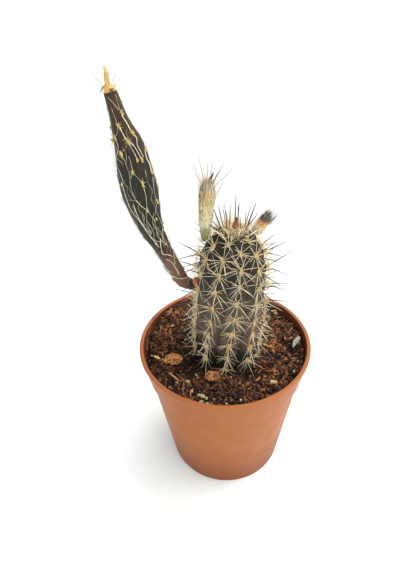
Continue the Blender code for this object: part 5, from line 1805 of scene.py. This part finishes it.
def stray_hair_body(draw):
    """A few long stray hairs at the pod's tip."""
    direction = np.array(((-0.62, 0.1, 0.75), (0.45, 0.0, 0.85), (-0.8, -0.1, 0.25), (0.7, 0.2, 0.5),
                          (0.2, 0.4, 0.9)))
    length = np.array((4.6, 3.4, 3.2, 2.4, 3.0)) * MM
    root = flower_place(2) + 0.9 * MM * unit(direction * (1.0, 1.0, 0.0))
    bend = np.array(((-0.12, 0.0, 0.1), (-0.1, 0.0, 0.05), (0.0, 0.0, 0.2), (0.1, 0.0, 0.2), (0.1, 0.1, 0.0)))
    paths = inside_box(spine_paths(root, unit(direction), length, bend, 8))
    return strands(paths, 0.065 * MM, draw.random(len(paths)))


def style_body():
    """The dark withered style, a short flat curl at the left of the collar."""
    run = np.array(((0.0, 0.0, 0.0), (-0.45, -0.1, -0.25), (-0.8, -0.15, -0.75), (-1.3, -0.1, -1.25))) * MM
    widths = np.array((0.1, 0.16, 0.2, 0.2, 0.2, 0.22, 0.2, 0.14, 0.05)) * MM
    return strands(threaded(flower_place(1, -0.5, -1.2, 1.1) + run, 9)[None], widths, 0.2, 6, 0.6)


def bristle_finish():
    """Stiff bristles from straw to nearly black by their own darkness, and ochre at their roots."""
    made = Finish("stiff_bristle", 0.5, 0.45)
    made.colour = made.ramp(made.attribute("tone"), (0.0, paint(206, 184, 140)), (0.5, paint(134, 98, 72)),
                            (1.0, paint(62, 48, 46)))
    root = made.window(made.attribute("along"), 0.08, 0.45, 1.0, 0.0)
    made.cover(root, paint(196, 166, 108))
    return made.done()


def tube_frame(lean):
    """The leaning axis's direction, with its side and back directions."""
    along = unit(lean)
    back = unit(BACK - along[1] * along)
    return along, np.cross(back, along), back


def tube_point(foot, lean, profile, height, turn, lift=0.0):
    """A point on a leaning tube: height along it, turn round it, and a lift off its smooth profile."""
    along, side, back = tube_frame(lean)
    height, turn = np.broadcast_arrays(np.asarray(height, dtype=float), turn)
    radius = np.interp(height, profile[:, 0], profile[:, 1]) + lift
    spoke = np.cos(turn)[..., None] * side + np.sin(turn)[..., None] * back
    return foot + height[..., None] * along + radius[..., None] * spoke, spoke


def tube_body(foot, lean, profile, furrows, depth, seed):
    """A furrowed woolly tube: rings up a leaning axis, the radius cut by cosine furrows and by noise."""
    length = profile[-1, 0]
    height = np.linspace(0.0, length, 90)[:, None]
    turn = turns(64)
    flat = circle(1.2 * MM, turn, height * 0.3)
    lift = -depth * (0.5 + 0.5 * np.cos(furrows * turn)) + 0.12 * MM * noise(flat, 0.5 * MM, seed)
    return closed(tube_point(foot, lean, profile, height, turn, lift)[0], height / length)


def tube_hair_body(draw, tube, count, span, lengths, spread, half_width, tones=(0.0, 1.0)):
    """Hairs that lie up a woolly tube and stand away from it more towards its top.

    A hair is root + t * length * direction + t^2 * length * bend, where the direction is the axis's
    plus the outward one times the spread, which grows with the root's height. Lengths and the half
    width are in millimetres.
    """
    along, length = tube_frame(tube[1])[0], tube[2][-1, 0]
    height = draw.uniform(*span, count) * length
    root, spoke = tube_point(*tube, height, draw.uniform(0.0, TAU, count), -0.03 * MM)
    share = height / length
    away = (spread[0] + (spread[1] - spread[0]) * ease(share, 0.45, 1.0))[:, None]
    direction = along + away * draw.uniform(0.4, 1.2, (count, 1)) * spoke
    direction = direction + 0.07 * draw.normal(size=(count, 3))
    bend = 0.1 * draw.normal(size=(count, 3)) + 0.1 * away * spoke
    paths = spine_paths(root, unit(direction), draw.uniform(*lengths, count) * MM, bend, 7)
    widths = half_width * MM * draw.uniform(0.6, 1.2, (count, 1)) * taper(7)
    return strands(paths, widths, draw.uniform(*tones, count))


def tube_hairs(draw, tube, *rows):
    """Hairs of several kinds on one tube, from rows of what each kind takes."""
    return join(*(tube_hair_body(draw, tube, *row) for row in rows))


def tube_root(foot, lean):
    """A function that gives places beside a leaning tube's axis, as right, back and height along it."""
    along, side, behind = tube_frame(lean)

    def root_of(right, back, height):
        return foot + height[:, None] * along + right[:, None] * side + back[:, None] * behind
    return root_of


def crown_bud_body():
    """The small closed bud: a pointed oval of overlapping scales, as a spiral ripple on its radius."""
    along, right, back = stem_frame(STEM_HEIGHT)
    foot = stem_axis(STEM_HEIGHT) + 0.1 * MM * along + 0.3 * MM * right
    share = np.linspace(0.0, 1.0, 60)[:, None]
    turn = turns(40)
    profile = np.interp(share, (0.0, 0.12, 0.3, 0.55, 0.8, 1.0), (0.6, 0.85, 1.0, 0.82, 0.46, 0.02))
    scales = 1.0 - 0.2 * ((share * 7.0 + 2.5 * turn / TAU * 2.0) % 1.0) * np.abs(np.cos(2.5 * turn))
    reach = 0.8 * MM * profile * scales
    rings = (foot + 4.2 * MM * share[..., None] * along + reach[..., None]
             * (np.cos(turn)[:, None] * right + np.sin(turn)[:, None] * back))
    return closed(rings, share, 0.4)


def settings(context, name):
    """One of the property groups on the scene."""
    return getattr(context.scene, "cactus_" + name)


class PotOperator(Operator):
    """Build the moulded pot with its drain holes"""

    bl_idname = "cactus.pot"
    bl_label = "Pot"

    def execute(self, context):
        pot = settings(context, "pot")
        weld(add_piece("pot_shell", pot_body(pot), plastic_finish(pot), ("pot",)))
        return {"FINISHED"}


class SoilOperator(Operator):
    """Build the soil with its crumbs and grains"""

    bl_idname = "cactus.soil"
    bl_label = "Soil"

    def execute(self, context):
        soil = settings(context, "soil")
        add_piece("soil_bed", soil_body(), soil_finish(soil), ("soil",))
        finish = crumb_finish(soil)
        draw = np.random.default_rng(1)
        body = crumb_body(draw, soil.crumbs, 0.3 * MM, 1.0 * MM, 3, 6, 0.0, 0.95, 0.15)
        add_piece("soil_crumbs", body, finish)
        body = crumb_body(draw, soil.grains, 0.14 * MM, 0.4 * MM, 2, 5, 0.1, 1.0, 0.5)
        add_piece("soil_grains", body, finish)
        return {"FINISHED"}


class LitterOperator(Operator):
    """Lay coir shreds, threads and pale grit on the soil"""

    bl_idname = "cactus.litter"
    bl_label = "Coir and grit"

    def execute(self, context):
        soil = settings(context, "soil")
        draw = np.random.default_rng(2)
        coir = coir_finish(soil)
        add_piece("coir_shreds", shred_body(draw, soil), coir)
        add_piece("coir_strands", laid_strand_body(), coir)
        pumice = pumice_finish(soil)
        add_piece("pale_grit", grit_body(draw, soil.grit), pumice)
        for number, node in enumerate(PUMICE_NODES):
            add_piece(f"pumice_grain_{number + 1}", pebble_body(node, 80 + number), pumice, (node,))
        for side, node, tint in (("left", "coir_left", 0.24), ("front", "coir_front", -0.06)):
            add_piece(f"coir_clump_{side}", lump_body(draw, node, 90, tint), coir, (node,))
        reach = np.array((0.46, 0.87, 0.0)) * 3.0 * MM
        body = leaf_body("bark_flake", reach, 0.1 * MM, 0.72 * MM, 0.2 * MM, 0.1 * MM, 91)
        add_piece("grey_flake_curl", body, flake_finish(), ("bark_flake",))
        reach = np.array((0.91, -0.41, 0.0)) * 1.8 * MM
        body = leaf_body("straw_chip", reach, 0.0, 0.5 * MM, 0.05 * MM, 0.14 * MM, 92)
        add_piece("straw_chip_split", body, straw_finish(settings(context, "pod")), ("straw_chip",))
        return {"FINISHED"}


class StemOperator(Operator):
    """Build the ribbed stem's skin"""

    bl_idname = "cactus.stem"
    bl_label = "Stem"

    def execute(self, context):
        stem = settings(context, "stem")
        add_piece("stem_skin", stem_body(stem), skin_finish(stem), ("cactus_body",))
        return {"FINISHED"}


class SpineOperator(Operator):
    """Build the areoles' wool, the pale spines and the dark ones"""

    bl_idname = "cactus.spines"
    bl_label = "Wool and spines"

    def execute(self, context):
        stem = settings(context, "stem")
        draw = np.random.default_rng(3)
        wool = wool_finish("areole_wool", stem.wool, paint(242, 224, 182))
        tufts = join(areole_wool_body(draw), crown_wool_body(draw, 320))
        add_piece("areole_tufts", tufts, wool)
        cream = spine_finish("pale_spine", paint(234, 192, 124), stem.cream, paint(232, 206, 156))
        add_piece("pale_spines", pale_spines(draw, stem), cream)
        dusk = spine_finish("dark_spine", paint(176, 120, 78), stem.dusk, paint(44, 34, 38))
        add_piece("dark_spines", dark_spines(draw, stem), dusk)
        return {"FINISHED"}


class PodOperator(Operator):
    """Build the seed pod with its net, tufts and hairs, and its felted seat"""

    bl_idname = "cactus.pod"
    bl_label = "Seed pod"

    def execute(self, context):
        pod = settings(context, "pod")
        draw = np.random.default_rng(4)
        add_piece("pod_skin", pod_body(), pod_finish(pod), ("seed_pod",))
        net = join(pod_strand_body(), net_body(np.random.default_rng(NET_SEED), pod))
        add_piece("pod_net", net, strand_finish(pod))
        tuft = wool_finish("pod_tuft", pod.tuft, paint(240, 214, 140))
        add_piece("pod_tufts", tuft_body(draw), tuft)
        hair = wool_finish("pod_hair", paint(150, 140, 118), paint(196, 188, 166))
        add_piece("pod_hairs", pod_hair_body(draw, 600), hair)
        add_piece("pod_cushion", cushion_body("pod_seat"), felt_finish(pod), ("pod_seat",))
        return {"FINISHED"}


class FlowerOperator(Operator):
    """Build the dried flower at the pod's tip"""

    bl_idname = "cactus.flower"
    bl_label = "Dried flower"

    def execute(self, context):
        pod = settings(context, "pod")
        draw = np.random.default_rng(5)
        straw = straw_finish(pod)
        add_piece("flower_neck", flower_core_body(), straw, ("dry_flower",))
        add_piece("flower_shreds", flower_shred_body(draw), straw)
        hair = wool_finish("stray_hair", paint(150, 140, 124), paint(176, 168, 154))
        add_piece("flower_hairs", stray_hair_body(draw), hair)
        dark = wool_finish("withered_style", paint(56, 44, 34), paint(92, 66, 40))
        add_piece("flower_style", style_body(), dark)
        return {"FINISHED"}


class BudOperator(Operator):
    """Build the woolly bud, the flower stump and the crown's closed bud"""

    bl_idname = "cactus.buds"
    bl_label = "Buds"

    def execute(self, context):
        draw = np.random.default_rng(6)
        foot = seat_of(BUD_RIB) + BUD_SHIFT
        tube = (foot, BUD_LEAN, BUD_PROFILE)
        stops = ((0.0, paint(112, 78, 46)), (0.1, paint(124, 116, 60)), (0.22, paint(158, 156, 104)),
                 (0.32, paint(218, 210, 176)), (0.58, paint(214, 200, 154)), (0.8, paint(190, 158, 92)),
                 (1.0, paint(166, 124, 62)))
        core = tube_body(*tube, 12, 0.12 * MM, 33)
        add_piece("bud_core", core, bud_finish("bud_felt", stops), ("woolly_bud",))
        pale = wool_finish("bud_wool", paint(228, 206, 152), paint(255, 250, 230), 0.6)
        hairs = tube_hairs(
            draw, tube,
            (480, (0.12, 0.68), (1.0, 2.2), (0.12, 0.06), 0.05, (0.0, 0.8)),
            (300, (0.42, 0.92), (1.0, 2.2), (0.08, 0.04), 0.05, (0.0, 0.6)),
            (300, (0.84, 1.0), (0.6, 1.5), (0.06, -0.4), 0.05),
            (150, (0.02, 0.6), (1.0, 2.2), (0.4, 0.3), 0.028),
            (60, (0.7, 0.98), (2.0, 4.0), (0.2, 0.3), 0.045),
            (70, (0.0, 0.05), (0.8, 1.7), (1.4, 1.0), 0.055),
        )
        add_piece("bud_hairs", hairs, pale)
        dark = wool_finish("bud_scales", paint(90, 60, 20), paint(142, 104, 40))
        dashes = tube_hairs(
            draw, tube,
            (120, (0.36, 0.7), (0.5, 1.1), (0.34, 0.24), 0.085),
            (140, (0.6, 0.97), (0.9, 2.0), (0.16, 0.12), 0.09),
            (18, (0.82, 0.96), (0.8, 1.8), (0.1, -0.1), 0.09),
            (60, (0.0, 0.26), (0.4, 0.9), (0.3, 0.3), 0.1, (0.0, 0.1)),
        )
        add_piece("bud_dashes", dashes, dark)
        stiff = bristle_finish()
        more = tube_hairs(draw, tube, (22, (0.82, 0.98), (3.4, 6.4), (0.3, 0.42), 0.05, (0.2, 0.8)))
        bristles = join(bristle_body(BUD_BRISTLES, tube_root(foot, BUD_LEAN)), more)
        add_piece("bud_bristles", bristles, stiff)
        self.stump(draw, stiff)
        bud = bud_finish("crown_bud_scales", ((0.0, paint(132, 84, 54)), (0.4, paint(152, 88, 54)),
                                              (0.8, paint(122, 60, 38)), (1.0, paint(86, 42, 32))))
        add_piece("crown_bud_tip", crown_bud_body(), bud, ("crown_bud",))
        return {"FINISHED"}

    def stump(self, draw, stiff):
        """The short stump of a fallen flower: pale wool, an orange band and a dark ragged tip."""
        foot = seat_of(STUMP_RIB) + STUMP_SHIFT
        tube = (foot, STUMP_LEAN, STUMP_PROFILE)
        stops = ((0.0, paint(255, 242, 204)), (0.36, paint(254, 236, 190)), (0.46, paint(238, 190, 128)),
                 (0.6, paint(160, 112, 78)), (0.74, paint(84, 74, 72)), (1.0, paint(70, 64, 64)))
        core = tube_body(*tube, 9, 0.12 * MM, 34)
        add_piece("stump_core", core, bud_finish("stump_felt", stops, 0.12), ("flower_stump",))
        pale = wool_finish("stump_wool", paint(255, 236, 190), paint(255, 250, 222), 1.0)
        hairs = tube_hairs(
            draw, tube,
            (300, (0.0, 0.3), (0.8, 1.8), (0.4, 0.3), 0.06),
            (150, (0.0, 0.34), (0.9, 2.1), (1.1, 0.7), 0.045),
            (30, (0.8, 1.0), (0.5, 1.2), (0.2, 0.5), 0.09),
        )
        add_piece("stump_hairs", hairs, pale)
        rust = wool_finish("stump_band", paint(226, 164, 98), paint(255, 228, 174))
        band = tube_hairs(draw, tube, (150, (0.32, 0.58), (0.6, 1.3), (0.3, 0.4), 0.06))
        add_piece("stump_band", band, rust)
        dark = wool_finish("stump_tip", paint(84, 74, 68), paint(150, 134, 112))
        rag = tube_hairs(draw, tube, (190, (0.62, 0.97), (0.6, 1.4), (0.05, 0.1), 0.08))
        add_piece("stump_rags", rag, dark)
        bristles = bristle_body(STUMP_BRISTLES, tube_root(foot, STUMP_LEAN))
        add_piece("stump_bristles", bristles, stiff)


class StudioOperator(Operator):
    """Set up the floor, the soft lights and the camera"""

    bl_idname = "cactus.studio"
    bl_label = "Studio"

    def execute(self, context):
        studio = settings(context, "studio")
        add_floor(studio)
        add_light("window_light", studio.window, studio.softness, studio.window_side)
        add_light("side_lamp", studio.lamp, math.radians(100.0), studio.lamp_side)
        world = bpy.data.worlds.new("studio_air")
        world.use_nodes = True
        air = world.node_tree.nodes["Background"].inputs
        air["Color"].default_value = (0.95, 0.99, 1.0, 1.0)
        air["Strength"].default_value = studio.air
        context.scene.world = world
        context.scene.view_settings.view_transform = "Standard"
        add_camera(context, studio)
        return {"FINISHED"}


def add_floor(studio):
    """A plain sheet: a wide level disc whose edge rises all round, to stand above the horizon.

    It is pale in front and a shade duller behind, painted shade that stands in for the light falling off
    towards the back, so thin spines still show against it there.
    """
    mesh = bpy.data.meshes.new("floor")
    sides, reach, rise = 96, np.array((1.0, 2.4, 4.5)), np.array((0.0, 0.05, 0.62))
    rings = circle(reach[:, None], turns(sides), rise[:, None]).reshape(-1, 3)
    mesh.from_pydata(rings, [], [range(sides)] + grid_faces(len(reach), sides)[:, ::-1].tolist())
    made = Finish("pale_floor", 0.8, 0.1)
    # Painted shade: the floor's colour dulls towards the back
    behind = made.window(made.coordinate("Y"), 15.0 * MM, 75.0 * MM)
    made.colour = made.blend(behind, studio.paper, studio.paper_shaded_behind)
    mesh.materials.append(made.done())
    floor = bpy.data.objects.new("floor", mesh)
    bpy.context.scene.collection.objects.link(floor)


def add_light(name, strength, softness, side):
    """Wide soft light from one side, as from a large window."""
    data = bpy.data.lights.new(name, "SUN")
    data.energy = strength
    data.angle = softness
    data.color = (1.0, 0.985, 0.96)
    light = bpy.data.objects.new(name, data)
    light.rotation_euler = look_angles(-unit(np.array(side)))
    bpy.context.scene.collection.objects.link(light)


def look_angles(direction):
    """Euler angles that turn an object's own -Z along a direction, with its Y upwards."""
    x, y, z = direction
    return (math.acos(max(-1.0, min(1.0, -z))), 0.0, math.atan2(-x, y))


def add_camera(context, studio):
    """The camera: forward from yaw and pitch, its right and up directions turned by the roll."""
    cos_pitch, sin_pitch = math.cos(studio.pitch), math.sin(studio.pitch)
    forward = np.array((math.sin(studio.yaw) * cos_pitch, math.cos(studio.yaw) * cos_pitch, -sin_pitch))
    level = unit(np.cross(forward, UP))
    above = np.cross(level, forward)
    right = math.cos(studio.roll) * level + math.sin(studio.roll) * above
    above = -math.sin(studio.roll) * level + math.cos(studio.roll) * above
    data = bpy.data.cameras.new("camera")
    data.sensor_width = SENSOR
    data.lens = studio.focal
    data.clip_start = 5.0 * MM
    camera = bpy.data.objects.new("camera", data)
    matrix = np.eye(4)
    matrix[:3, :3] = np.stack((right, above, -forward), axis=-1)
    matrix[:3, 3] = studio.place
    camera.matrix_world = [list(row) for row in matrix.T]
    context.scene.collection.objects.link(camera)
    context.scene.camera = camera


class CactusPanel(Panel):
    """The settings, and a button for each group of pieces."""

    bl_idname = "VIEW3D_PT_cactus"
    bl_label = "Potted cactus"
    bl_space_type = "VIEW_3D"
    bl_region_type = "UI"
    bl_category = "Cactus"

    def draw(self, context):
        for operator in OPERATORS:
            self.layout.operator(operator.bl_idname)
        for name, group in GROUPS:
            box = self.layout.box()
            box.label(text=name.title())
            for key in group.__annotations__:
                box.prop(settings(context, name), key)


GROUPS = (
    ("pot", PotSettings),
    ("soil", SoilSettings),
    ("stem", StemSettings),
    ("pod", PodSettings),
    ("studio", StudioSettings),
)
OPERATORS = (StudioOperator, PotOperator, SoilOperator, LitterOperator, StemOperator, SpineOperator,
             PodOperator, FlowerOperator, BudOperator)


def register():
    """Register the classes and hang the settings on the scene."""
    for name, group in GROUPS:
        bpy.utils.register_class(group)
        setattr(bpy.types.Scene, "cactus_" + name, PointerProperty(type=group))
    for operator in OPERATORS:
        bpy.utils.register_class(operator)
    bpy.utils.register_class(CactusPanel)


def unregister():
    """Take the classes and the settings away again."""
    bpy.utils.unregister_class(CactusPanel)
    for operator in reversed(OPERATORS):
        bpy.utils.unregister_class(operator)
    for name, group in reversed(GROUPS):
        delattr(bpy.types.Scene, "cactus_" + name)
        bpy.utils.unregister_class(group)


def main():
    """Build the stage and every piece in order."""
    register()
    for call in (bpy.ops.cactus.studio, bpy.ops.cactus.pot, bpy.ops.cactus.soil, bpy.ops.cactus.litter,
                 bpy.ops.cactus.stem, bpy.ops.cactus.spines, bpy.ops.cactus.pod, bpy.ops.cactus.flower,
                 bpy.ops.cactus.buds):
        call()


if __name__ == "__main__":
    main()
